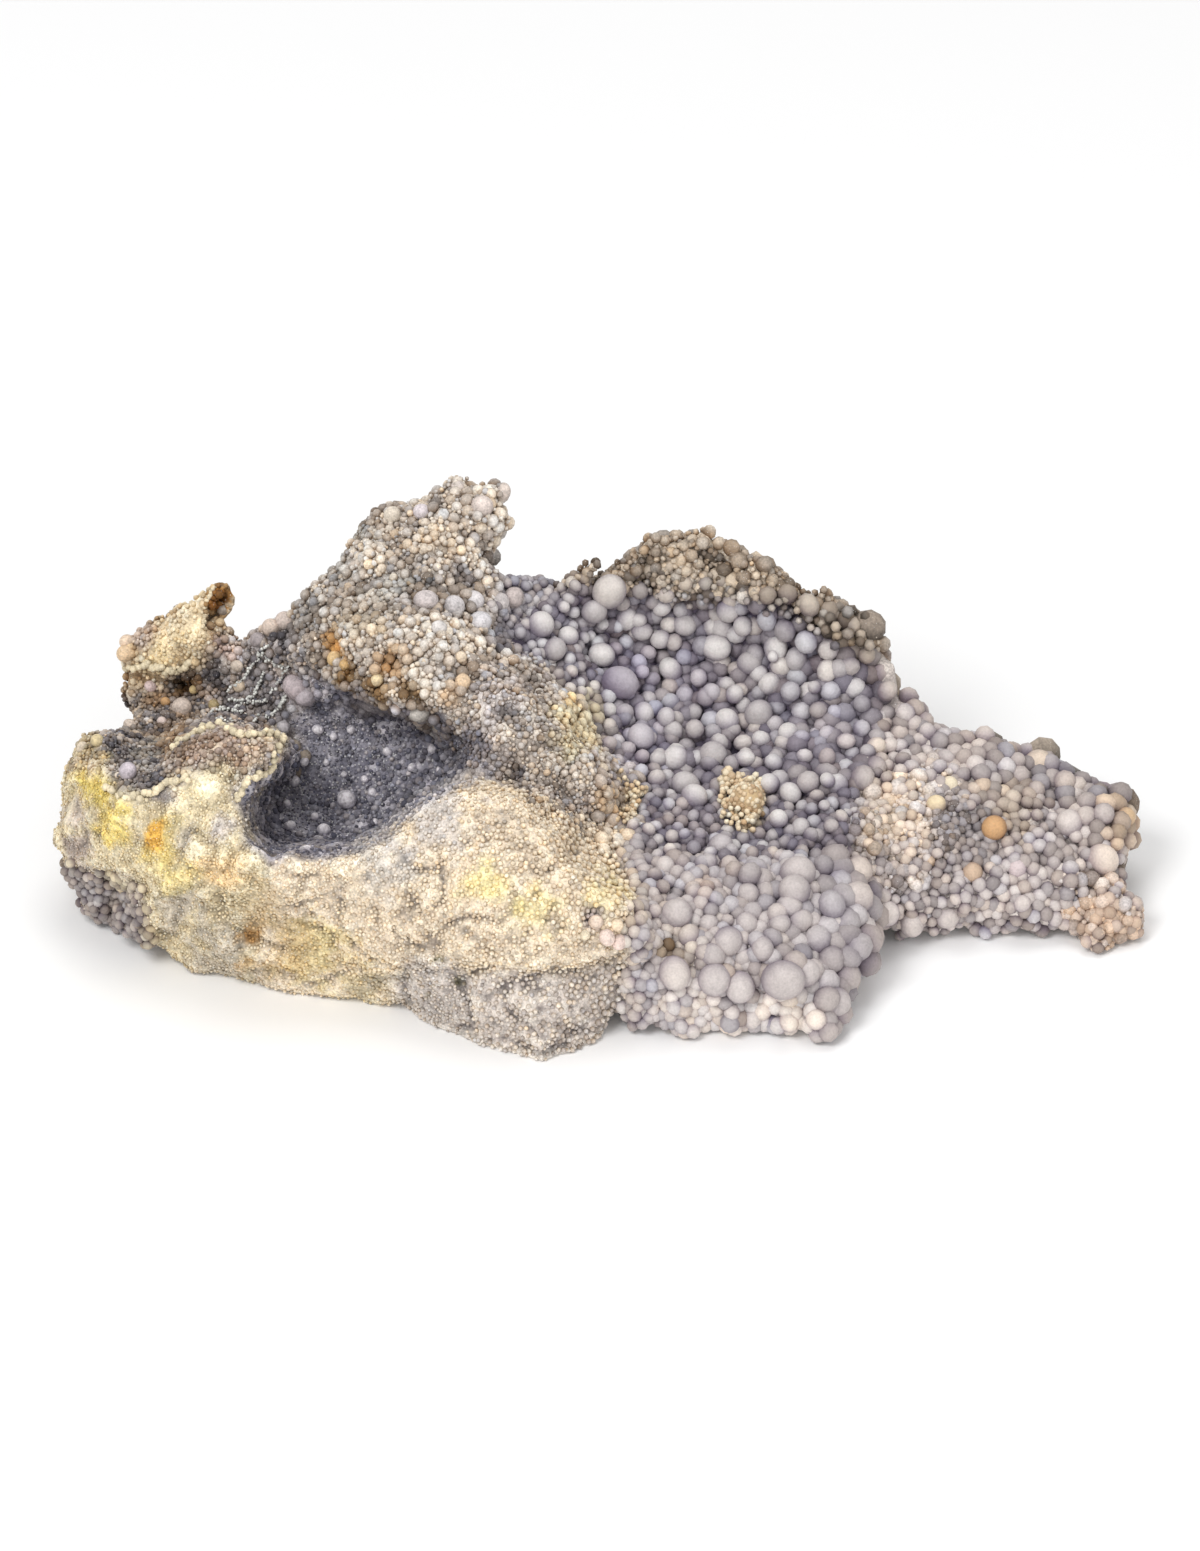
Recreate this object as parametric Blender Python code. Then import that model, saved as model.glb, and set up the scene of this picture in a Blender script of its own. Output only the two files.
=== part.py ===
"""Druzy chalcedony, a specimen 153 mm across: one grown stone and the crusts that line its two hollows."""

import itertools
import math
import random

import bmesh
import bpy
import numpy as np
from mathutils import Matrix, Vector
from mathutils.bvhtree import BVHTree
from mathutils.geometry import delaunay_2d_cdt

MM = 0.001

# The stone is drawn as it shows from the front, looking down on it at this angle above the table.
LOOK_DOWN = math.radians(35)
LOOK = Vector((0, math.cos(LOOK_DOWN), -math.sin(LOOK_DOWN)))

# Lengths in mm.
FORM_VOXEL = 1.0  # grain of the bare form, before its knobs
FUSE_VOXEL = 0.62  # grain of the form with its knobs grown on
BASE_TRIM = 0.6  # what the saw takes off the underside to leave it flat
KNOB_FLOOR = 1.5  # no knob grows lower than this
KNOB_CELL = 10  # side of the cells that knobs are sorted into, over the widest spacing
CRUST_SETTING = 1.1  # how deep a hollow's crust is set in the stone, below its knobs
GAP = 0.3  # between the crust and the stone that it grew on
REACH = 200  # more than the stone's length
TURNED_AWAY = 0.1  # a skin whose normal leans further than this along the line of sight is at the back

FORM_ROUNDING = 3  # passes that round the bare form's facets
STONE_FACES = 7000  # triangles of the whole stone's skin
BED_FACES = 700  # triangles of the skin that the crusts are bedded on

# Landmarks are (across, up, height) in mm: across and up as they show in that view, height above the table.
OUTLINE = [
    (-20.5, 41, 47), (-14, 41, 48), (-13.5, 39, 46), (-15, 34.5, 42.5), (-16, 30, 39),
    (-14, 26.5, 36.5), (-10, 27, 36), (-5.5, 26.5, 36), (-3.5, 29.5, 38), (1.5, 31, 39.5),
    (7, 33, 41), (12.5, 34, 42), (17.5, 33, 41), (22, 30, 39), (26.5, 26.5, 36.5), (32, 25.5, 35),
    (37, 23.5, 33), (40.5, 22, 31), (40, 18.5, 28), (42.5, 14.5, 25), (42.5, 11.5, 22.5),
    (45.5, 7, 19.5), (52, 5, 17), (57.5, 2, 15.5), (62.5, 2.5, 15), (68.5, -1, 13), (73, -4.5, 11),
    (74, -9, 9), (73.5, -13.5, 7.5), (71, -16.5, 6.5), (74.5, -19, 4), (76, -22.5, 1.5),
    (70, -23, 1.5), (64.5, -20.5, 2.5), (58, -21.5, 2), (50.5, -21, 2.5), (43.5, -21.5, 3),
    (38, -19.5, 6), (36, -22.5, 8), (34.5, -26.5, 8), (32.5, -31.5, 5), (30.5, -35, 2),
    (23, -35.5, 1), (16, -35, 1), (10, -36, 0.5), (3, -33, 3), (0.5, -37, 1), (-3.5, -38.5, 0.5),
    (-7.5, -41, 0), (-12.5, -39, 0), (-19.5, -37, 0), (-24.5, -35, 0.5), (-28, -31, 2.5),
    (-30, -33, 0.5), (-35.5, -31, 1), (-42.5, -31, 0.5), (-50.5, -29, 0), (-57.5, -27, 1),
    (-61.5, -23.5, 3), (-64.5, -22.5, 1.5), (-68.5, -21.5, 1.5), (-72, -18.5, 4), (-75, -16, 6),
    (-74.5, -13, 9), (-76, -7.5, 14), (-75.5, -2.5, 18), (-74, 2.5, 23), (-71.5, 6, 26),
    (-68.5, 6.5, 26), (-67, 10, 17), (-68.5, 13.5, 20), (-69, 18, 24), (-65, 21, 27),
    (-59.5, 23, 30), (-55.5, 26, 33), (-52, 28, 35.5), (-52, 24.5, 32), (-53, 21.5, 29.5),
    (-49.5, 17.5, 26), (-47, 21.5, 30.5), (-42, 23, 32.5), (-40.5, 25.5, 35), (-35.5, 30.5, 39.5),
    (-31.5, 36.5, 43.5), (-26.5, 38, 45), (-22.5, 39.5, 46),
]
# The lip of the left pocket, from the flap at its back, down its left side and along the front crest.
POCKET_LIP = [
    (-57.5, 4.5, 34.5), (-53, 6, 36.5), (-47.5, 5, 36.5), (-44.5, 4.5, 36.5), (-48, -1, 32.5),
    (-50, -3, 30.5), (-49.5, -5, 29.5), (-49, -9, 27.5), (-46, -13, 25.5), (-42, -11.5, 26),
    (-36.5, -12, 26), (-32, -10, 27.5), (-28, -8, 29), (-24, -3.5, 31.5), (-19.5, -2, 33),
    (-14, -2, 32.5), (-10.5, -3.5, 31),
]
# What shows just behind that lip, far below it.
POCKET_FOOT = [
    (-66, 5.5, 19), (-60, 5.5, 17.5), (-55.5, 7.5, 17.5), (-50.5, 8, 19), (-47.5, 6.5, 18), (-44, 5.5, 15.5),
    (-43.5, 1.5, 12), (-46.5, -2, 11), (-47.5, -5, 10.5), (-47, -9, 10), (-42, -9.5, 10),
    (-36.5, -10, 10), (-32, -8, 11), (-28.5, -5.5, 12), (-24, -2, 14.5), (-20.5, -0.5, 17),
    (-13.5, -1, 22),
]
POCKET = [
    (-46, 17.5, 28), (-43.5, 15, 25.5), (-47.5, 12, 21.5), (-42, 10.5, 20.5), (-36.5, 10.5, 22),
    (-31.5, 9, 20.5), (-26.5, 7.5, 20), (-22.5, 6, 20.5), (-36.5, 6.5, 17), (-39, 2, 13),
    (-31, 3.5, 15.5), (-25, 2, 16.5), (-21.5, 2, 18), (-42, -2, 10.5), (-35, -3.5, 10.5),
    (-28, -2, 13),
]
RIDGE = [
    (-18, 38, 46.5), (-24, 35, 45.5), (-29.5, 33, 43.5), (-19.5, 31.5, 42.5), (-25, 27.5, 41.5),
    (-32, 26, 39.5), (-36.5, 23, 37), (-40.5, 19, 32.5), (-28, 20.5, 39.5), (-20.5, 24.5, 39),
    (-22.5, 17.5, 38), (-17, 13.5, 36), (-11, 10.5, 34.5), (-6.5, 5.5, 31.5), (-1.5, 1, 27.5),
    (0, -2, 24.5), (-7.5, -2, 27), (-38.5, 17.5, 33), (-35.5, 14, 32), (-31, 11.5, 32.5),
    (-26.5, 10, 33), (-22.5, 9, 32.5), (-18.5, 7.5, 31.5), (-16, 4, 30), (-14, 1, 28), (-18, 1, 27),
]
BASIN = [
    (-11, 22, 31.5), (-5.5, 19, 28), (-14, 19, 33), (-8.5, 15, 28.5), (-3, 10.5, 24),
    (1.5, 3.5, 20), (3, -2, 18.5), (0, 24.5, 31.5), (7, 26, 33), (14, 26, 33), (19.5, 24.5, 32.5),
    (3, 28.5, 36.5), (11, 30, 38), (19.5, 27.5, 36.5), (28, 23, 32.5), (35, 21, 30.5),
    (3, 22, 28.5), (11, 22, 28), (19.5, 19, 26.5), (28, 17.5, 26.5), (36.5, 16, 26.5), (0, 16, 25),
    (8.5, 15, 23), (17, 13.5, 22.5), (25, 12, 22.5), (33.5, 12, 23), (39, 10.5, 22), (5.5, 8, 20),
    (12.5, 6.5, 19), (19.5, 6.5, 18.5), (28, 6.5, 19), (36.5, 5.5, 19), (11, -2, 16.5),
    (19.5, -2, 16), (28, -2, 16.5), (35, -2, 17.5), (0, -7.5, 19.5), (8.5, -9, 16),
    (17, -10.5, 15.5), (25, -10.5, 15.5), (32, -10.5, 15.5),
]
APRON = [
    (-1.5, -12, 20), (3.5, -15.5, 17.5), (7, -16, 16), (15.5, -17.5, 16), (24, -16, 15.5),
    (32, -16, 13.5), (36.5, -17, 9), (6.5, -21.5, 14), (7, -27, 9.5), (17, -24.5, 11.5),
    (25, -24.5, 10.5), (32, -23, 10), (10, -31.5, 5), (19.5, -31.5, 5.5), (28, -30, 6),
]
TONGUE = [
    (42, 5, 18.5), (42, -0.5, 17.5), (49, 1, 16.5), (56, -1.5, 15), (63, -2, 13.5),
    (68.5, -5, 11.5), (42, -7.5, 15), (49, -7.5, 14), (56, -7.5, 13), (63, -9, 11.5),
    (70, -10.5, 9), (39, -13, 12), (43.5, -16, 9), (50.5, -16, 8.5), (57.5, -16, 8), (64.5, -16, 8),
    (72, -20.5, 4.5),
]
FRONT_LUMP = [
    (-7, -10.5, 28), (-1.5, -14.5, 24.5), (3.5, -18, 20.5), (4.5, -22.5, 16.5), (1.5, -25, 13.5),
    (-17, -9, 29.5), (-24, -12, 26.5), (-11, -14.5, 26), (-4, -19, 21.5), (0, -21.5, 18.5),
    (-14, -21.5, 20.5), (-22.5, -20, 20), (-31, -17.5, 20.5), (-38, -17.5, 19), (-8.5, -27, 14),
    (-17, -28.5, 11), (-25, -27, 11), (-33.5, -24.5, 12), (-40.5, -23, 11.5), (-45, -26, 7),
    (-8.5, -34, 7), (-1.5, -31.5, 8), (-17, -34, 5), (0, -27.5, 11),
]
LEFT_WALL = [
    (-52, 3, 34.5), (-56, 1.5, 33.5), (-55.5, -0.5, 32.5), (-61.5, -2, 30), (-66.5, -3, 29),
    (-64.5, 0, 29), (-68, 2, 28.5), (-70.5, 4, 27), (-73.5, 0, 23.5), (-71.5, -3.5, 24),
    (-73, -7.5, 18.5), (-70.5, -12, 14.5), (-67, -7.5, 23.5), (-61.5, -7.5, 25), (-54.5, -6, 28),
    (-53, -12, 24), (-61.5, -14.5, 17.5), (-67, -12.5, 17), (-64.5, -15, 15), (-63.5, -21, 8.5),
    (-57.5, -20, 11), (-50.5, -17.5, 16), (-50.5, -24.5, 8), (-56, -25, 4.5),
    (-70, -16, 6.5), (-66.5, -17, 5.5), (-68, -19.5, 3.5),
]
FIN = [
    (-64.5, 17.5, 25.5), (-56, 17.5, 27), (-59, 20, 29.5), (-54, 19.5, 28), (-63, 12, 19.5),
    (-59, 12.5, 18.5), (-56, 10.5, 19), (-51, 12, 21.5), (-50, 15, 24), (-66, 15, 22),
    (-53.5, 24, 30.5), (-65.5, 9, 18), (-56, 23, 31),
]
# The back and the underside, which that view doesn't show, are (right, back, height) in mm.
BACK = [
    (-18, 9, 36), (-30, 8, 32), (-9, 3, 30), (-7, 9, 26), (8, 7, 30), (20, 7, 28), (33, 1, 22),
    (38, -5, 14), (-20, 10, 22), (-34, 8, 20), (8, 9, 16), (22, 8, 15), (-4, 9, 12), (-46, 3, 20),
    (-58, 1, 22), (-62, -1, 12), (-50, 4, 10), (-33, 9, 9), (-18, 10, 9), (48, -12, 9), (60, -15, 8),
    (69, -22, 5), (-68, -14, 12), (-71, -24, 10), (34, -1, 9),
]
CUT_BASE = [
    (-70, -32), (-64, -37), (-52, -46), (-38, -51), (-28, -54), (-13, -64), (0, -61), (16, -58),
    (28, -56), (34, -44), (50, -37), (66, -37), (72, -36), (67, -26), (50, -18), (40, -10),
    (35, -1), (20, 5), (5, 6), (-15, 7), (-30, 6), (-46, 1), (-60, -4), (-65, -14), (-68, -24),
    (-40, -20), (0, -25), (40, -28),
]

# Where the crusts end, as (across, up) in the front view.
BASIN_EDGE = [
    (-12.5, 22), (-6, 24.5), (-3, 27), (1.5, 28), (8, 29), (19, 27.5), (27, 24.5), (34, 22), (37, 19),
    (38.5, 15), (39.5, 11), (39, 6), (37, 0), (35, -5), (34, -10), (26, -12.5), (16, -12.5),
    (7, -11.5), (2.5, -8), (3.5, -3), (2, 1.5), (-1.5, 7), (-5, 12), (-9, 15.5), (-13, 18),
]
POCKET_EDGE = [
    (-43, 4), (-44, 0.5), (-45.5, -3), (-45, -7.5), (-41.5, -8.5), (-36.5, -9), (-31.5, -7), (-27.5, -4),
    (-23.5, -1), (-20, 1), (-20, 4), (-24, 6.5), (-28, 8), (-33, 7.5), (-36, 10.5), (-39, 14),
    (-42, 15.5), (-44.5, 11), (-44, 7),
]
# The other kinds of skin on the stone, as outlines in the same view.
RIDGE_SKIN = [
    (-42, 15), (-36, 13), (-27, 9.5), (-19, 3), (-14, 0), (-1, -3), (2, 1.5), (-1.5, 7), (-5, 12),
    (-9, 15.5), (-13, 18), (-16, 22), (-14, 30), (-10, 42), (-34, 42), (-48, 26),
]
RIM_SKIN = [(-6, 24.5), (-3, 27), (8, 29), (27, 24.5), (37, 19), (48, 20), (30, 40), (-2, 40)]
TONGUE_SKIN = [(39, 6), (44, 12), (60, 12), (80, -2), (80, -26), (38, -26), (36, -18), (35, -5)]
APRON_SKIN = [(2.5, -8), (7, -11.5), (35, -12), (38, -20), (36, -40), (2, -40), (4, -25), (5, -17)]
LUMP_SKIN = [
    (-47, -14), (-36.5, -12), (-24, -3.5), (-14, -1), (-5, -4), (2.5, -8), (5, -17), (4, -25),
    (2, -42), (-47, -42),
]

# The grapes and balls that stand out of the rest, as (across, up, radius).
GREAT_GRAPES = [
    (25, -28, 3.6), (31, -30, 2.2), (10, -27, 2.8), (16, -28, 2.8), (19.5, -29, 2.2), (28, -27.5, 2),
    (27, -14, 2.8), (27, -17, 2.6), (17.5, -22.5, 2), (10.5, -19.5, 2), (40, -19, 1.8), (55.5, -7.5, 2),
    (1.5, 25.5, 2.4), (0.5, 17, 1.8), (16, 17.5, 2), (22.5, 9, 2), (16, 2.5, 2), (6, 4.5, 2),
    (33, -10.5, 2), (-35.5, -3.5, 1.5), (-59, 10.5, 1.6), (-65.5, 0, 1.5),
]
# Thin tips, as rows of balls (across, up, height, radius): the fin's horn, the ridge's top and the
# tongue's ends.
TIPS = [
    (-58, 23.5, 31, 1.2), (-56.5, 24.5, 32, 1.1), (-55, 25.5, 33, 1), (-53.8, 26.4, 34, 0.9),
    (-52.8, 27.2, 34.8, 0.8), (-52, 26, 33.6, 0.8), (-16, 39.5, 46.5, 1.6), (-14, 40.3, 47.3, 1.3),
    (73, -20.5, 3.2, 1.5), (74.6, -21.5, 2.3, 1.3), (56, 4.5, 16.8, 1.2), (73.5, -7, 9.5, 1.6),
]
# Holes and pits: the fin's tube and its hole, the ridge's hollow tubes, and the pits in the lower wall.
PITS = [
    (-54.5, 22.5, 1.5), (-59, 13, 2.6), (-37, 17.5, 2.2), (-35, 14.5, 2), (-29, 16, 2), (-29, 13.5, 1.8),
    (-12, 0, 2.2), (-1.5, -5.5, 1.8), (-48.5, -20.5, 2), (-48, -24, 2.2), (-1, -19.5, 2), (11, -24, 1.5),
    (12.5, -26, 1.5), (36.5, -16, 2), (-66, -18, 1.6),
]

# Each kind of skin: its outline, the radii of its knobs, their spacing, and how far they stand out in radii.
SKINS = [
    (BASIN_EDGE, (1.6, 2.2), 3.6, 0.3),
    (POCKET_EDGE, (1.1, 1.5), 4.6, 0.25),
    (RIDGE_SKIN, (1.2, 1.7), 3.3, 0.15),
    (RIM_SKIN, (1.3, 1.8), 3.4, 0.2),
    (TONGUE_SKIN, (1.5, 2.2), 3.8, 0.2),
    (APRON_SKIN, (1.8, 2.8), 4.4, 0.1),
    (LUMP_SKIN, (1.6, 2.6), 5.5, -0.55),
]
WALL_SKIN = (None, (1.8, 2.8), 5, -0.4)
BACK_SKIN = (None, (3, 5), 8.5, -0.6)


def seen(across, up, height):
    """Where a landmark of the front view lies, in mm to the right, to the back and up."""
    return (across, (up - height * math.cos(LOOK_DOWN)) / math.sin(LOOK_DOWN), height)


def shown(right, back, height):
    """Where a point shows in the front view, in mm across and up."""
    return Vector((right, back * math.sin(LOOK_DOWN) + height * math.cos(LOOK_DOWN)))


def inside(outline, point):
    """Whether a point of the front view lies within an outline."""
    x, y = point
    crossings = 0
    for (ax, ay), (bx, by) in zip(outline, outline[1:] + outline[:1]):
        if (ay > y) != (by > y) and x < ax + (y - ay) * (bx - ax) / (by - ay):
            crossings += 1
    return crossings % 2 == 1


def linked(name, mesh):
    obj = bpy.data.objects.new(name, mesh)
    bpy.context.scene.collection.objects.link(obj)
    return obj


def linked_bmesh(name, bm):
    mesh = bpy.data.meshes.new(name)
    bm.to_mesh(mesh)
    bm.free()
    return linked(name, mesh)


def copied(obj, shift=0.0):
    """A twin of the object, moved this many mm along the line of sight."""
    twin = linked(obj.name + "_twin", obj.data.copy())
    twin.data.transform(Matrix.Translation(LOOK * shift * MM))
    return twin


def dropped(*helpers):
    for obj in helpers:
        bpy.data.objects.remove(obj, do_unlink=True)


def changed(obj, kind, **settings):
    """The object with one modifier applied to it."""
    modifier = obj.modifiers.new(kind, kind)
    for name, value in settings.items():
        setattr(modifier, name, value)
    graph = bpy.context.evaluated_depsgraph_get()
    mesh = bpy.data.meshes.new_from_object(obj.evaluated_get(graph))
    obj.modifiers.clear()
    old, obj.data = obj.data, mesh
    bpy.data.meshes.remove(old)
    return obj


def fused(obj, grain):
    """One closed skin round all that the object's mesh holds."""
    return changed(obj, "REMESH", mode="VOXEL", voxel_size=grain * MM)


def cut(obj, operation, other):
    """A Boolean of two closed skins."""
    return changed(obj, "BOOLEAN", operation=operation, object=other)


def thinned(obj, faces):
    """The same shape with about this many triangles."""
    obj.data.calc_loop_triangles()
    share = faces / len(obj.data.loop_triangles)
    return changed(obj, "DECIMATE", ratio=share, use_collapse_triangulate=True)


def only_piece(obj, rank):
    """Keeps the connected piece of a mesh that ranks highest, and drops the crumbs that a cut left."""
    bm = bmesh.new()
    bm.from_mesh(obj.data)
    pieces = []
    left = set(bm.verts)
    while left:
        reached = {left.pop()}
        edge = list(reached)
        while edge:
            edge = {e.other_vert(v) for v in edge for e in v.link_edges} & left
            left -= edge
            reached |= edge
        pieces.append(reached)
    pieces.sort(key=rank)
    bmesh.ops.delete(bm, geom=[v for piece in pieces[:-1] for v in piece], context="VERTS")
    bm.to_mesh(obj.data)
    bm.free()


def nearness(verts):
    """How far the nearest of these vertices stands towards the viewer."""
    return max(-v.co.dot(LOOK) for v in verts)


def net(points, lines):
    """Triangles over the points as they show in the front view, within the outline and along the lines."""
    edges = [pair for line in lines for pair in zip(line, line[1:])]
    outline = list(range(len(OUTLINE)))
    triangulated = delaunay_2d_cdt([shown(*p) for p in points], edges, [outline], 1, 1e-4)
    origins = [origin[0] for origin in triangulated[3]]
    return [[origins[i] for i in face] for face in triangulated[2]]


def bare_form():
    """The stone without its knobs: a net of triangles in front, another behind, closed along the outline."""
    ring = [seen(*p) for p in OUTLINE]
    lip = [seen(*p) for p in POCKET_LIP]
    foot = [seen(*p) for p in POCKET_FOOT]
    rest = [seen(*p) for p in POCKET + RIDGE + BASIN + APRON + TONGUE + FRONT_LUMP + LEFT_WALL + FIN]
    lip_line = range(len(ring), len(ring + lip))
    foot_line = range(len(ring + lip), len(ring + lip + foot))
    front = net(ring + lip + foot + rest, (lip_line, foot_line))
    hidden = BACK + [(right, back, 0) for right, back in CUT_BASE]
    behind = net(ring + hidden, ())
    # A triangle whose corners are all on the outline can be in both nets, and holds nothing between them.
    flat = {frozenset(t) for t in front if max(t) < len(ring)} & {frozenset(t) for t in behind}
    bm = bmesh.new()
    edge_verts = [bm.verts.new(Vector(p) * MM) for p in ring]
    for points, triangles in ((lip + foot + rest, front), (hidden, behind)):
        verts = edge_verts + [bm.verts.new(Vector(p) * MM) for p in points]
        for triangle in triangles:
            if frozenset(triangle) not in flat:
                bm.faces.new([verts[i] for i in triangle])
    bmesh.ops.recalc_face_normals(bm, faces=bm.faces)
    form = fused(linked_bmesh("form", bm), FORM_VOXEL)
    return changed(form, "SMOOTH", factor=0.5, iterations=FORM_ROUNDING)


def struck(skin, across, up):
    """Where the line of sight through a point of the front view first meets the form's skin, in mm."""
    start = Vector(seen(across, up, 0)) - LOOK * REACH
    return skin.ray_cast(start * MM, LOOK)[0] / MM


def skin_at(place, normal):
    """The kind of skin at a point of the form, by where it shows or by its facing away from the viewer."""
    if normal.dot(LOOK) > TURNED_AWAY:
        return BACK_SKIN
    for kind in SKINS:
        if inside(kind[0], shown(*place)):
            return kind
    return WALL_SKIN


def knobs_on(form, skin):
    """The centres and radii of what stands on the form: tips, great grapes, and the rest by a fixed seed."""
    knobs = [(Vector(seen(*place)), radius) for *place, radius in TIPS]
    great = [(struck(skin, across, up), radius) for across, up, radius in GREAT_GRAPES]
    taken = {}
    for place, _ in great:
        taken.setdefault(tuple(c // KNOB_CELL for c in place), []).append(place)
    draw = random.Random(11)
    candidates = list(form.data.vertices)
    draw.shuffle(candidates)
    for vertex in candidates:
        place = vertex.co / MM
        if place.z < KNOB_FLOOR:
            continue
        _, radii, spacing, lift = skin_at(place, vertex.normal)
        gap = spacing * draw.uniform(0.9, 1.1)
        x, y, z = (c // KNOB_CELL for c in place)
        around = itertools.product((x - 1, x, x + 1), (y - 1, y, y + 1), (z - 1, z, z + 1))
        if any((other - place).length < gap for cell in around for other in taken.get(cell, ())):
            continue
        taken.setdefault((x, y, z), []).append(place)
        radius = draw.uniform(*radii)
        knobs.append((place + vertex.normal * radius * lift, radius))
    return knobs + great


def balls(name, places):
    """One object of faceted balls, each given by its centre and radius in mm."""
    bm = bmesh.new()
    bmesh.ops.create_icosphere(bm, subdivisions=2, radius=1)
    corners = np.array([v.co for v in bm.verts])
    faces = np.array([[v.index for v in f.verts] for f in bm.faces])
    bm.free()
    centres = np.array([centre for centre, _ in places])
    radii = np.array([radius for _, radius in places])
    points = corners * radii[:, None, None] + centres[:, None]
    triangles = faces + np.arange(len(places))[:, None, None] * len(corners)
    mesh = bpy.data.meshes.new(name)
    mesh.from_pydata((points.reshape(-1, 3) * MM).tolist(), [], triangles.reshape(-1, 3).tolist())
    return linked(name, mesh)


def grown_stone(form):
    """The form with its knobs grown on and its pits sunk, in facets."""
    skin = BVHTree.FromPolygons([v.co for v in form.data.vertices], [p.vertices for p in form.data.polygons])
    knobs = balls("knobs", knobs_on(form, skin))
    sunk = [(struck(skin, across, up), radius) for across, up, radius in PITS]
    pits = fused(balls("pits", sunk), FUSE_VOXEL)
    bm = bmesh.new()
    bm.from_mesh(form.data)
    bm.from_mesh(knobs.data)
    stone = fused(linked_bmesh("stone", bm), FUSE_VOXEL)
    fused(cut(stone, "DIFFERENCE", pits), FUSE_VOXEL)
    fine = copied(stone)
    thinned(stone, STONE_FACES)
    changed(stone, "SHRINKWRAP", target=fine, wrap_method="NEAREST_SURFACEPOINT")
    dropped(knobs, pits, fine)
    return stone


def prism(outline, margin):
    """An outline of the front view pushed right through the stone, along the line of sight."""
    middle = sum((Vector(p) for p in outline), Vector((0, 0))) / len(outline)
    bm = bmesh.new()
    verts = []
    for corner in outline:
        out = Vector(corner) - middle
        across, up = middle + out * (1 + margin / out.length)
        verts.append(bm.verts.new((Vector(seen(across, up, 0)) - LOOK * REACH) * MM))
    face = bm.faces.new(verts)
    pushed = bmesh.ops.extrude_face_region(bm, geom=[face])["geom"]
    far_verts = [v for v in pushed if isinstance(v, bmesh.types.BMVert)]
    bmesh.ops.translate(bm, verts=far_verts, vec=LOOK * 2 * REACH * MM)
    bmesh.ops.recalc_face_normals(bm, faces=bm.faces)
    return linked_bmesh("prism", bm)


def in_front_of(bed, outline, margin, depth):
    """The space that shows within an outline, down to the bed sunk this many mm along the line of sight."""
    space = prism(outline, margin)
    sunk = copied(bed, depth)
    cut(space, "DIFFERENCE", sunk)
    only_piece(space, nearness)
    dropped(sunk)
    return space


def parted_crust(stone, bed, outline):
    """Takes a hollow's crust off the stone, and cuts the stone back from it by the gap."""
    crust = in_front_of(bed, outline, 0, CRUST_SETTING)
    cut(crust, "INTERSECT", stone)
    only_piece(crust, len)
    hollow = in_front_of(bed, outline, GAP, CRUST_SETTING + 2 * GAP)
    cut(stone, "DIFFERENCE", hollow)
    dropped(hollow)
    return crust


def sawn_flat(stone):
    """Cuts the underside off flat."""
    bm = bmesh.new()
    bmesh.ops.create_cube(bm, size=2 * REACH * MM)
    bmesh.ops.translate(bm, verts=bm.verts, vec=(0, 0, (BASE_TRIM - REACH) * MM))
    below = linked_bmesh("below", bm)
    cut(stone, "DIFFERENCE", below)
    only_piece(stone, len)
    dropped(below)


def centred(stone, crusts):
    """Moves the solids so that the origin is at the middle of the underside."""
    corners = np.array([v.co for v in stone.data.vertices])
    low, high = corners.min(axis=0), corners.max(axis=0)
    home = Matrix.Translation((-(low[0] + high[0]) / 2, -(low[1] + high[1]) / 2, -low[2]))
    for solid in (stone, *crusts):
        solid.data.transform(home)


def finished(obj, name, colour, roughness):
    """Names a solid and gives it its material."""
    material = bpy.data.materials.new(name)
    material.use_nodes = True
    shader = material.node_tree.nodes["Principled BSDF"]
    shader.inputs["Base Color"].default_value = (*colour, 1)
    shader.inputs["Roughness"].default_value = roughness
    shader.inputs["Metallic"].default_value = 0
    obj.name = name
    obj.data.name = name
    obj.data.materials.clear()
    obj.data.materials.append(material)
    obj.data.shade_flat()


for startup_object in list(bpy.data.objects):
    bpy.data.objects.remove(startup_object, do_unlink=True)

bare = bare_form()
body = grown_stone(bare)
bedding = thinned(copied(bare), BED_FACES)
basin = parted_crust(body, bedding, BASIN_EDGE)
pocket = parted_crust(body, bedding, POCKET_EDGE)
sawn_flat(body)
centred(body, (basin, pocket))
dropped(bare, bedding)

finished(body, "chalcedony_body", (0.52, 0.45, 0.38), 0.7)
finished(basin, "basin_crust", (0.44, 0.42, 0.47), 0.45)
finished(pocket, "pocket_crust", (0.10, 0.10, 0.14), 0.5)
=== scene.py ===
import itertools
import math

import bmesh
import bpy
import numpy as np
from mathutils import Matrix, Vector
from mathutils.bvhtree import BVHTree
from mathutils.kdtree import KDTree


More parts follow.
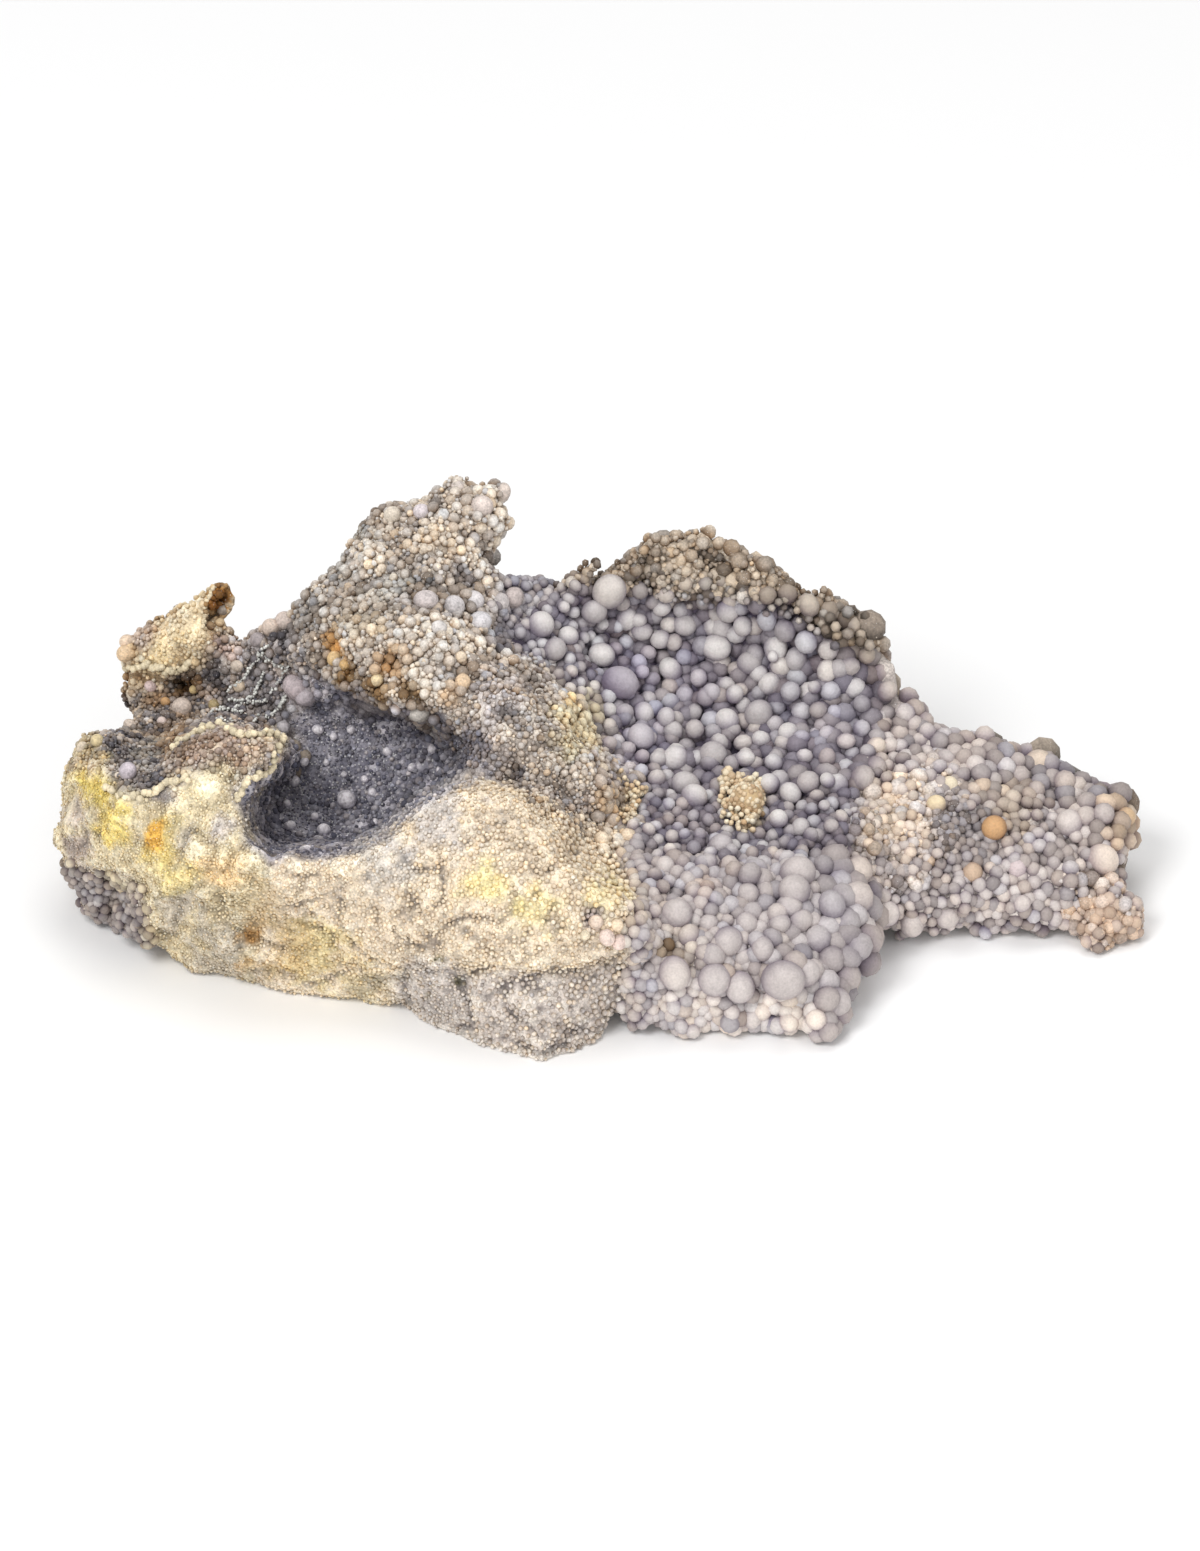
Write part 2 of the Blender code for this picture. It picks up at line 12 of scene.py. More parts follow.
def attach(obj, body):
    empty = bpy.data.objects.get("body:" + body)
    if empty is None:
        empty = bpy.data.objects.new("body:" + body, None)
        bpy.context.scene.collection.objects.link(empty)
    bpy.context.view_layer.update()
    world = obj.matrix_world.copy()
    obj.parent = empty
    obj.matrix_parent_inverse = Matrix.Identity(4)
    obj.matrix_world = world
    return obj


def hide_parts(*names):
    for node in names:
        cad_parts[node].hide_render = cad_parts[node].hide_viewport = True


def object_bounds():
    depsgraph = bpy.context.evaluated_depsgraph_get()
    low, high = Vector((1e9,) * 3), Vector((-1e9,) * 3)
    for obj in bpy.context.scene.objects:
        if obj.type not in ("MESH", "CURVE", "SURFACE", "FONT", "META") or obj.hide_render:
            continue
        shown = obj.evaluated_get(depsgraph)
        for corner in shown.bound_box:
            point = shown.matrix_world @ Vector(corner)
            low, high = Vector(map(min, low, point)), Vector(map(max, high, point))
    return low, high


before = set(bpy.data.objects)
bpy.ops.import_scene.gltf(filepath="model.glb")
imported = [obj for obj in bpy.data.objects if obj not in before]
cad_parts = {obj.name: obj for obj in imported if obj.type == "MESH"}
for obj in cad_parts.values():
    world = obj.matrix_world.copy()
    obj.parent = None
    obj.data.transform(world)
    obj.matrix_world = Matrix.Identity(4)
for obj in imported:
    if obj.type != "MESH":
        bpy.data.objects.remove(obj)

cad_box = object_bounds()

# The view. The stone is seen from the front and from 35 degrees above its table, through a long lens that
# keeps the near grapes and the far rim at one scale. The places of grapes and stains are read in this view,
# in mm, as (across, up) from its middle.
MM = 0.001
LOOK_DOWN = math.radians(35)
LOOK = np.array((0, math.cos(LOOK_DOWN), -math.sin(LOOK_DOWN)))
VIEW_UP = np.array((0, math.sin(LOOK_DOWN), math.cos(LOOK_DOWN)))
VIEW_MIDDLE = (0.14, 16.28)
STONE_HEIGHT = 20
VIEW_HEIGHT = 217.14
LENS = 300
SENSOR = 36


def aimed(obj, place, target):
    """Puts the camera or a lamp at its place and turns it to its target."""
    obj.location = place
    obj.rotation_euler = (target - place).to_track_quat("-Z", "Y").to_euler()
    bpy.context.scene.collection.objects.link(obj)


middle_back = (VIEW_MIDDLE[1] - STONE_HEIGHT * VIEW_UP[2]) / VIEW_UP[1]
stone_middle = Vector((VIEW_MIDDLE[0], middle_back, STONE_HEIGHT)) * MM
camera = bpy.data.objects.new("camera", bpy.data.cameras.new("camera"))
camera.data.lens = LENS
camera.data.sensor_width = SENSOR
aimed(camera, stone_middle - Vector(LOOK) * VIEW_HEIGHT * MM * LENS / SENSOR, stone_middle)
bpy.context.scene.camera = camera

# The studio. Four soft boxes over a wide white table, in a white room that fills in the shadows. The table
# is there for the picture only and is no part of the stone.
ROOM_LIGHT = 0.5
LAMP_TARGET = Vector((0, 0, 0.02))
TABLE_SIDE = 6
TABLE_WHITE = (0.93, 0.93, 0.93, 1)
bpy.context.scene.view_settings.view_transform = "Standard"
room = bpy.data.worlds.new("white_room")
room.use_nodes = True
room.node_tree.nodes["Background"].inputs["Color"].default_value = (1, 1, 1, 1)
room.node_tree.nodes["Background"].inputs["Strength"].default_value = ROOM_LIGHT
bpy.context.scene.world = room
for lamp_name, lamp_place, lamp_side, lamp_watts in (
    ("key", (-0.35, -0.45, 0.75), 0.4, 4.2),
    ("fill", (0.6, -0.4, 0.45), 0.5, 1.0),
    ("front", (0.0, -0.9, 0.16), 0.5, 1.6),
    ("top", (0.05, 0.25, 0.9), 0.5, 2.4),
):
    lamp = bpy.data.lights.new(lamp_name, "AREA")
    lamp.size = lamp_side
    lamp.energy = lamp_watts
    aimed(bpy.data.objects.new(lamp_name, lamp), Vector(lamp_place), LAMP_TARGET)

bm = bmesh.new()
bmesh.ops.create_grid(bm, x_segments=1, y_segments=1, size=TABLE_SIDE / 2)
table_mesh = bpy.data.meshes.new("table")
bm.to_mesh(table_mesh)
bm.free()
table = bpy.data.objects.new("table", table_mesh)
bpy.context.scene.collection.objects.link(table)
white = bpy.data.materials.new("table_white")
white.use_nodes = True
white.node_tree.nodes["Principled BSDF"].inputs["Base Color"].default_value = TABLE_WHITE
white.node_tree.nodes["Principled BSDF"].inputs["Roughness"].default_value = 0.9
table_mesh.materials.append(white)

# The stone itself: weathered chalcedony, grown in one piece and cut off flat underneath. Its skin is the
# solid's own form, grown over in fine relief, with one closed surface under the crusts as well. Its colours
# are minerals that stained it as it grew, painted darker in its hollows as painted shade and paler on its
# bumps as painted highlights. Sizes and places are in mm, and painted colours run from 0 to 255.
SKIN_GRAIN = 0.66
CRUST_SWELL = 0.35
CRUST_SINK = 0.65
KNOB_SIZE = 3.2
KNOB_SEED = 35
CRACK_DEPTH = 0.8
PIT_DEPTH = 0.5
LUMP_FOOT_STEP = 0.8
HORN_DEPTH = 2.6
FLAT_FOOT = 0.6
FRONT_DEPTH = 3.5
EYE_DISTANCE = 300
FULL_BUMP = 0.5
HIDDEN_BLUR_STEPS = 6
BUMP_BLUR_STEPS = 8
GLOW_DEPTH = 1.2
# White specks in the finishes: partly white crystals, partly painted glints.
CRYSTAL_WHITE_AND_GLINT = (0.85, 0.84, 0.82, 1)
# Large primes that scatter the heights of the lumps.
SCATTER_PLACE = np.array((73856093, 19349663, 83492791))
SCATTER_SEED = 961748927
SCATTER_HEIGHT = 1274126177


def merged(node):
    """A copy of a solid's mesh with its loose triangles joined."""
    bm = bmesh.new()
    bm.from_mesh(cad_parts[node].data)
    bmesh.ops.remove_doubles(bm, verts=bm.verts, dist=1e-6)
    return bm


def added(name, bm):
    """A new object in the scene with this mesh."""
    mesh = bpy.data.meshes.new(name)
    bm.to_mesh(mesh)
    bm.free()
    obj = bpy.data.objects.new(name, mesh)
    bpy.context.scene.collection.objects.link(obj)
    return obj


def changed(obj, kind, **settings):
    """The object with one modifier applied."""
    modifier = obj.modifiers.new(kind, kind)
    for key, value in settings.items():
        setattr(modifier, key, value)
    graph = bpy.context.evaluated_depsgraph_get()
    mesh = bpy.data.meshes.new_from_object(obj.evaluated_get(graph))
    obj.modifiers.clear()
    old, obj.data = obj.data, mesh
    bpy.data.meshes.remove(old)
    return obj


def read(mesh, kind, key, width):
    """A mesh's values as an array with this many columns."""
    values = np.empty(len(getattr(mesh, kind)) * width, np.float32)
    getattr(mesh, kind).foreach_get(key, values)
    return values.reshape(-1, width).astype(float)


def lumps(places, size, seed):
    """Smooth noise from 0 to 1, in lumps of this size in mm."""
    cells = np.floor(places / size).astype(np.int64)
    part = places / size - cells
    part = part * part * (3 - 2 * part)
    total = np.zeros(len(places))
    for corner in itertools.product((0, 1), repeat=3):
        key = (cells + corner) @ SCATTER_PLACE + seed * SCATTER_SEED
        key = (key ^ (key >> 13)) * SCATTER_HEIGHT
        weight = np.where(corner, part, 1 - part).prod(axis=1)
        total += weight * ((key ^ (key >> 16)) & 65535) / 65535
    return total


def rough(places, size, seed):
    """Three sizes of lumps in one, from -1 to 1."""
    coarse, middling, fine = (lumps(places, size / 2**i, seed + i) - 0.5 for i in range(3))
    return (coarse * 4 + middling * 2 + fine) / 3.5


def eased(share):
    """A share kept between 0 and 1, with a soft start and a soft end."""
    share = np.clip(share, 0, 1)
    return share * share * (3 - 2 * share)


def shown(places):
    """Where points show in the view: how far across and how far up."""
    return np.stack((places[:, 0] - VIEW_MIDDLE[0], places @ VIEW_UP - VIEW_MIDDLE[1]), axis=1)


def within(outline, spots, blur):
    """How far each spot is inside an outline of the view: 0 outside, 1 inside, blurred over this many mm."""
    x, y = spots.T
    inside = np.zeros(len(x), bool)
    nearest = np.full(len(x), np.inf)
    for (ax, ay), (bx, by) in zip(outline, outline[1:] + outline[:1]):
        if ay != by:
            inside ^= ((ay > y) != (by > y)) & (x < ax + (y - ay) * (bx - ax) / (by - ay))
        length = (bx - ax) ** 2 + (by - ay) ** 2
        along = np.clip(((x - ax) * (bx - ax) + (y - ay) * (by - ay)) / length, 0, 1)
        nearest = np.minimum(nearest, np.hypot(x - ax - along * (bx - ax), y - ay - along * (by - ay)))
    return eased(np.where(inside, nearest, -nearest) / blur / 2 + 0.5)


BASIN = [
    (-12.5, 22), (-6, 24.5), (-3, 27), (1.5, 28), (8, 29), (19, 27.5), (27, 24.5), (34, 22), (37, 19),
    (38.5, 15), (39.5, 11), (39, 6), (37, 0), (35, -5), (34, -10), (26, -12.5), (16, -12.5),
    (7, -11.5), (2.5, -8), (3.5, -3), (2, 1.5), (-1.5, 7), (-5, 12), (-9, 15.5), (-13, 18),
]
POCKET = [
    (-43, 4), (-47, 5), (-49.5, -3), (-49, -9), (-46, -12.5), (-42, -11.5), (-36.5, -12), (-32, -10),
    (-28, -8), (-24, -3.5), (-19.5, -1), (-15, 0), (-19, 3.5), (-22, 5), (-27, 9), (-33, 8), (-36, 12),
    (-39, 16), (-42, 17), (-47, 14), (-52, 13), (-50, 9), (-44, 6),
]
RIDGE = [
    (-42, 16), (-36, 13), (-27, 9.5), (-19, 3), (-14, 0), (-5, -3), (0, -3), (2, 1.5), (-1.5, 7), (-5, 12),
    (-9, 15.5), (-13, 18), (-16, 22), (-14, 30), (-10, 44), (-34, 44), (-50, 26),
]
# The rim's outline reaches down past its edge onto the top of the basin, so its dark brown coat paints both
# the rim's own brown and painted shade under the rim.
RIM = [
    (-6, 26), (-3, 27), (3, 26.8), (14, 25.6), (22, 24.8), (28, 22.6), (34, 19), (40, 17), (48, 18),
    (30, 42), (-2, 42),
]
TONGUE = [(39, 6), (44, 12), (60, 12), (80, -2), (80, -28), (38, -28), (36, -18), (35, -5)]
APRON = [(2.5, -8), (7, -11.5), (35, -12), (38, -20), (36, -42), (2, -42), (4, -25), (5, -17)]
LUMP = [
    (-46, -12), (-36.5, -12), (-32, -10), (-24, -3.5), (-19.5, -1), (-14, 0), (-5, -4), (2.5, -8), (5, -17),
    (4, -25), (2, -42), (-47, -42), (-48, -20),
]
LUMP_FOOT = [
    (-28, -25.8), (-19.6, -26.5), (-14, -27.5), (-1.4, -27), (2.8, -25), (5.6, -31.4), (0, -43), (-9, -43),
    (-18, -39), (-24, -36), (-28, -33),
]
WALL = [
    (-78, -32), (-78, 6), (-68.5, 3), (-63, -2), (-59, -3), (-52, 3), (-47, 6), (-44, 5), (-48, -1),
    (-50, -3), (-49, -9), (-46, -13), (-48, -32),
]
LOBE = [(-78, -12), (-70, -13.5), (-64, -16), (-62, -23), (-66, -27), (-78, -24)]
NOTCH = [(-16, 31), (-17, 23), (-13, 17), (-4, 22), (-3, 28), (-6, 33)]
FIN = [(-72, 12), (-72, 31), (-50, 31), (-50, 26), (-52, 16), (-57, 9), (-66, 6), (-70, 8)]
SLATE_BAND = [
    (-68, 10.5), (-59, 14.5), (-52, 20), (-42, 20), (-42, 9), (-50, 6), (-57, 5), (-59, -2.5), (-66, -2),
    (-69, 3),
]
HORN_HOLLOW = [(-55.6, 21.4), (-54.8, 24), (-53, 26), (-51.2, 27.4), (-51.4, 24.5), (-52.8, 22)]
FLAP = [(-60, 3), (-57, 5), (-52, 6.5), (-46, 5.5), (-45, 3), (-49, -1), (-52, 1.5), (-57, 1)]
CREAM_FIN = [
    (-67.5, 16.6), (-64.5, 18.2), (-62.5, 21.2), (-60, 25), (-57, 28.5), (-51.5, 30.5), (-50.8, 28.2),
    (-54.4, 26), (-55.8, 23), (-55, 20.6), (-55.3, 17.8), (-57.7, 15.1), (-61.4, 14.8), (-65.3, 16),
]
# Each kind of coat: its outline, then its colour in the hollows, on the whole and on the bumps. The hollow
# colour is painted shade and the bump colour a painted highlight, mixed with random tone. The bare coat and
# the back's coat below work the same way.
COATS = [
    (NOTCH, (116, 110, 114), (166, 160, 162), (210, 205, 204)),
    (BASIN, (110, 102, 112), (162, 155, 156), (214, 209, 206)),
    (POCKET, (84, 83, 96), (140, 137, 148), (246, 240, 244)),
    (RIDGE, (124, 112, 102), (190, 179, 169), (234, 224, 210)),
    (RIM, (92, 80, 68), (152, 138, 124), (206, 190, 170)),
    (TONGUE, (120, 110, 107), (190, 179, 174), (230, 220, 213)),
    (APRON, (126, 118, 120), (180, 171, 169), (218, 209, 204)),
    (LUMP, (146, 134, 122), (224, 206, 182), (250, 235, 210)),
    (LUMP_FOOT, (118, 110, 108), (196, 185, 177), (236, 226, 214)),
    (WALL, (146, 132, 108), (212, 196, 162), (242, 230, 200)),
    (LOBE, (100, 90, 88), (160, 150, 144), (206, 194, 184)),
    (FIN, (104, 78, 52), (178, 150, 116), (236, 218, 186)),
    (SLATE_BAND, (68, 64, 68), (130, 123, 122), (208, 196, 184)),
    (FLAP, (132, 110, 92), (180, 158, 144), (228, 210, 184)),
    (CREAM_FIN, (168, 140, 106), (226, 206, 170), (248, 236, 210)),
]
BARE_COAT = ((132, 122, 122), (172, 162, 158), (208, 198, 190))
BACK_COAT = ((112, 98, 86), (162, 148, 134), (200, 186, 170))
# Stains: where each shows, how far it reaches, its colour and how strong it is.
STAINS = [
    (-70.5, -2, 4, (222, 198, 108), 0.9), (-67, -7, 4.5, (230, 206, 122), 0.9),
    (-60, -10, 5, (226, 202, 124), 0.8), (-73, -6, 3, (186, 172, 164), 0.8),
    (-73, -10, 3, (170, 156, 150), 0.8), (-72, 1, 3, (198, 180, 158), 0.7),
    (-61.5, -8.5, 2.2, (214, 162, 72), 0.9), (-56, -3, 5, (240, 226, 190), 0.8),
    (-52, -7, 2.5, (188, 180, 178), 0.8), (-57, -9, 3, (176, 168, 164), 0.7),
    (-58, -18, 4, (190, 180, 168), 0.7), (-52, -14.5, 2, (234, 196, 138), 0.8),
    (-53, -13, 4.5, (234, 206, 162), 0.8), (-58, -14, 4, (228, 210, 150), 0.7),
    (-52, -25, 7, (190, 180, 166), 0.8), (-48, -22, 2.4, (160, 112, 56), 0.8),
    (-49, -26, 2, (170, 124, 66), 0.7), (-40, -24, 6, (214, 196, 140), 0.7),
    (-33, -30, 7, (210, 196, 158), 0.6), (-30, -12, 6, (200, 194, 188), 0.7),
    (-22, -6, 7, (196, 190, 188), 0.7), (-15, -15.5, 5, (240, 224, 164), 0.8),
    (-8, -18, 4, (240, 224, 168), 0.7), (0, -16, 4, (236, 220, 172), 0.7),
    (-1, -19.5, 2, (150, 140, 146), 0.8), (-25, -34, 8, (190, 182, 176), 0.7),
    (-36, 17.5, 3, (190, 130, 60), 0.8), (-35, 14.5, 3, (100, 66, 24), 0.9),
    (-29, 15, 3, (176, 122, 62), 0.7), (-26, 12, 2.5, (96, 66, 30), 0.7),
    (-31, 12, 2.5, (110, 76, 34), 0.7), (-20, 11, 3, (214, 178, 138), 0.6),
    (-3, 6, 6, (226, 210, 168), 0.7), (-16, 4, 6, (186, 176, 172), 0.7), (-11.5, 0, 1.8, (96, 90, 92), 0.8),
    (-53.6, 24, 3, (122, 78, 28), 0.95), (-58.5, 13, 2.4, (92, 62, 30), 0.95),
    (-62, 17.5, 5, (238, 216, 172), 0.8), (-56.5, 21, 2.5, (240, 222, 186), 0.9),
    (-52.5, 28, 2, (238, 220, 186), 0.8), (-53, 18, 3, (176, 150, 142), 0.7),
    (-65, 20.5, 3, (176, 160, 158), 0.6), (-63, 11, 3, (150, 112, 72), 0.6),
    (-60, 5, 4, (140, 108, 74), 0.7), (-47, 14, 7, (184, 176, 176), 0.7),
    (-43, 12, 4, (176, 166, 168), 0.8), (12, 12, 6, (146, 138, 158), 0.35),
    (4, 4, 6, (146, 138, 160), 0.35), (30, 6, 6, (152, 144, 164), 0.4), (3, 14, 5, (132, 122, 150), 0.4),
    (40, -6, 7, (222, 202, 180), 0.8), (52, -7, 5, (128, 122, 124), 0.7),
    (14, -35, 8, (240, 228, 216), 0.8), (27, -35, 7, (240, 230, 220), 0.8),
    (-23.5, -26.2, 0.8, (90, 82, 56), 1), (-20, -28, 0.9, (84, 80, 62), 1),
    (-23.8, -30.3, 0.7, (96, 88, 66), 1), (15, -16, 2.4, (206, 180, 160), 0.6),
    (58, -4, 6, (200, 178, 150), 0.6), (62, 1, 7, (150, 142, 142), 0.7), (73, -7, 5, (196, 168, 136), 0.7),
    (72, -20, 8, (196, 168, 144), 0.8), (19.8, -4.7, 3.2, (222, 198, 158), 1),
    (2.8, -3.8, 3.4, (196, 174, 148), 0.9), (11, -23, 5, (196, 178, 152), 0.5),
    (10, -24, 2.5, (92, 70, 44), 0.8), (-55, 11.5, 2.5, (190, 172, 160), 0.7),
    (-59, 9.5, 2, (196, 178, 164), 0.7), (-63, 2.5, 3, (156, 152, 144), 0.6),
    (-66, 8, 3, (184, 166, 144), 0.6), (-44, 10, 5, (176, 168, 168), 0.8), (33, 7, 7, (196, 188, 188), 0.5),
    (13, -7, 6, (134, 124, 130), 0.5), (-44, -24, 5, (190, 164, 122), 0.6),
    (-46, -18, 4, (200, 178, 142), 0.6), (-71.5, 4.5, 3, (188, 170, 132), 0.8),
    (-35, -26, 4, (200, 178, 136), 0.5), (-37, 29.5, 3.5, (152, 150, 148), 0.7),
    (-34, 33.6, 2.5, (156, 154, 148), 0.7), (-41, 24.5, 4, (140, 136, 134), 0.7),
    (-29, 27, 3, (172, 174, 172), 0.6), (-24.4, 26.4, 1.2, (96, 98, 104), 0.9),
    (-18.6, 27.5, 2, (112, 104, 102), 0.8), (-14.5, 19.6, 2.8, (108, 104, 110), 0.85),
    (-13.5, 12, 5, (206, 198, 198), 0.6), (-21, 6, 3.2, (108, 106, 116), 0.85),
    (-18.5, 3.4, 3, (112, 109, 118), 0.8), (-12.6, 7.6, 1.8, (116, 108, 106), 0.8),
    (-30, 31, 3, (206, 196, 182), 0.5), (-22, 33, 4, (204, 184, 158), 0.5),
    (-33, 22, 4, (186, 172, 148), 0.5),
]


def linear(colour):
    """A colour as light, which is what a shader works with."""
    return (np.asarray(colour, float) / 255) ** 2.2


def mixed(first, second, share):
    """Two lists of colours blended, by a share of the second for each."""
    return first + (second - first) * share[:, None]


def coated(coat, bump):
    """A coat's colour where the surface is hollow, plain or raised, for bump from -1 to 1."""
    # The hollow colour paints shade and the raised colour paints a highlight.
    low, plain, high = (np.asarray(tone, float) for tone in coat)
    return np.where(bump[:, None] < 0, mixed(plain, low, -bump), mixed(plain, high, bump))


def stone_colour(places, bump, hidden, mottle=1):
    """The stone's colour at each place: its coat, then its stains, or the back's coat where it is hidden."""
    wobble = np.stack([rough(places, 6, seed) for seed in (3, 7)], axis=1)
    spots = shown(places) + 2.4 * wobble
    edge = 1.1 * rough(places, 2.2, 15)
    # Tone follows the bump: hollows painted darker as painted shade, bumps paler as painted highlights.
    tone = np.clip(bump + mottle * (0.6 * rough(places, 3.2, 11) + 0.35 * rough(places, 0.9, 13)), -1, 1)
    colour = coated(BARE_COAT, tone)
    for outline, *coat in COATS:
        colour = mixed(colour, coated(coat, tone), within(outline, spots, 1.4))
    for across, up, reach, stain, strength in STAINS:
        away = np.hypot(spots[:, 0] - across, spots[:, 1] - up) / reach
        # Stains too are painted darker in hollows and paler on bumps, as painted shade and highlight.
        shade = np.array(stain) * (1 + 0.14 * tone[:, None])
        colour = mixed(colour, shade, strength * eased(1.3 - 1.3 * away + edge * (away < 1.6)))
    back = coated(BACK_COAT, np.clip(tone + 0.5 * rough(places, 9, 17), -1, 1))
    return mixed(colour, back, hidden)


bm = merged("chalcedony_body")
for crust_node in ("basin_crust", "pocket_crust"):
    crust = merged(crust_node)
    for vert in crust.verts:
        vert.co += vert.normal * CRUST_SWELL * MM + Vector(LOOK) * CRUST_SINK * MM
    loose = bpy.data.meshes.new("loose")
    crust.to_mesh(loose)
    crust.free()
    bm.from_mesh(loose)
    bpy.data.meshes.remove(loose)
skin = added("stone_skin", bm)
changed(skin, "REMESH", mode="VOXEL", voxel_size=SKIN_GRAIN * MM, use_smooth_shade=True)
changed(skin, "SMOOTH", factor=0.5, iterations=4)


def tree_of(obj):
    """An object's faces, sorted so that a line of sight can be traced to them."""
    return BVHTree.FromPolygons([v.co for v in obj.data.vertices], [p.vertices for p in obj.data.polygons])


bare_tree = tree_of(skin)


def hidden_from_front(places):
    """1 where a good depth of stone stands between a place and the viewer, else 0."""
    hidden = np.zeros(len(places))
    for i, place in enumerate(places * MM):
        start = Vector(place) - Vector(LOOK) * (EYE_DISTANCE * MM)
        hit = bare_tree.ray_cast(start, Vector(LOOK))[0]
        if hit is not None:
            hidden[i] = (Vector(place) - hit).length / MM / FRONT_DEPTH
    return eased(hidden - 0.5)


def neighbours_mean(values, ends, counts):
    """The mean of the values at each vertex's neighbours along the edges."""
    total = np.zeros_like(values)
    for column in range(values.shape[1]):
        total[:, column] += np.bincount(ends[:, 0], values[ends[:, 1], column], len(values))
        total[:, column] += np.bincount(ends[:, 1], values[ends[:, 0], column], len(values))
    return total / counts[:, None]


def grown(obj, relief):
    """Raises an object's skin by relief(places, normals, hidden).

    Returns its new places, how hollow or raised each is, from -1 to 1, and how well hidden it is.
    """
    mesh = obj.data
    places = read(mesh, "vertices", "co", 3) / MM
    normals = read(mesh, "vertices", "normal", 3)
    ends = np.empty(len(mesh.edges) * 2, np.int32)
    mesh.edges.foreach_get("vertices", ends)
    ends = ends.reshape(-1, 2)
    counts = np.bincount(ends.ravel(), minlength=len(places))
    hidden = hidden_from_front(places)
    for _ in range(HIDDEN_BLUR_STEPS):
        hidden = neighbours_mean(hidden[:, None], ends, counts)[:, 0]
    places += normals * relief(places, normals, hidden)[:, None]
    flat = places
    for _ in range(BUMP_BLUR_STEPS):
        flat = neighbours_mean(flat, ends, counts)
    bump = np.einsum("ij,ij->i", places - flat, normals)
    places = np.clip(places, np.array(cad_box[0]) / MM, np.array(cad_box[1]) / MM)
    mesh.vertices.foreach_set("co", (places * MM).astype(np.float32).ravel())
    mesh.update()
    return places, np.clip(bump / FULL_BUMP, -1, 1), hidden


def painted(mesh, colours):
    """Keeps a colour for each vertex."""
    tint = mesh.color_attributes.new("tint", "FLOAT_COLOR", "POINT")
    light = np.ones((len(colours), 4), np.float32)
    light[:, :3] = linear(np.clip(colours, 0, 255))
    tint.data.foreach_set("color", light.ravel())


def stone_relief(places, normals, hidden):
    """Cracks and crags over the lump and the wall, knobs over the ridge and the rim, and lumps everywhere.

    The lump steps in at its foot, and the horn is hollow where it faces the viewer. The flat foot stays flat.
    """
    spots = shown(places)
    crusty = np.maximum(within(WALL, spots, 2), within(LUMP, spots, 2))
    knobbly = np.maximum(within(RIDGE, spots, 2), within(RIM, spots, 2))
    cracks = eased(1 - 6 * np.abs(rough(places, 8, 21)))
    pits = eased(3.2 * lumps(places, 1.7, 27) - 2.2)
    height = 0.25 * rough(places, 4, 23) + 0.25 * rough(places, 1.6, 25)
    crags = 0.55 * rough(places, 5, 33) - CRACK_DEPTH * cracks - PIT_DEPTH * pits
    height += (1 - hidden) * crusty * crags
    height += (1 - hidden) * knobbly * (1.9 * lumps(places, KNOB_SIZE, KNOB_SEED) - 1)
    torn_spots = spots + 1.2 * rough(places, 3, 37)[:, None]
    height -= (1 - hidden) * LUMP_FOOT_STEP * within(LUMP_FOOT, torn_spots, 0.6)
    towards_viewer = np.clip(-1.3 * (normals @ LOOK), 0, 1)
    height -= (1 - hidden) * HORN_DEPTH * within(HORN_HOLLOW, spots, 0.4) * towards_viewer
    height += hidden * (0.5 * rough(places, 5, 29))
    return height * (places[:, 2] > FLAT_FOOT)


class Shade:
    """A shader socket. Arithmetic on it adds Math nodes to its material."""

    def __init__(self, socket):
        self.socket = socket

    def node(self, kind, settings, sockets, output=0):
        """Adds a node of this kind. Its settings come first, then its sockets' values or links."""
        tree = self.socket.id_data
        made = tree.nodes.new("ShaderNode" + kind)
        for key, value in settings.items():
            setattr(made, key, value)
        for key, value in sockets.items():
            if isinstance(value, Shade):
                tree.links.new(value.socket, made.inputs[key])
            else:
                made.inputs[key].default_value = value
        return Shade(made.outputs[output])

    def maths(self, operation, first, second):
        return self.node("Math", {"operation": operation}, {0: first, 1: second})

    def __add__(self, other):
        return self.maths("ADD", self, other)

    def __sub__(self, other):
        return self.maths("SUBTRACT", self, other)

    def __rsub__(self, other):
        return self.maths("SUBTRACT", other, self)

    def __mul__(self, other):
        return self.maths("MULTIPLY", self, other)

    __radd__ = __add__
    __rmul__ = __mul__


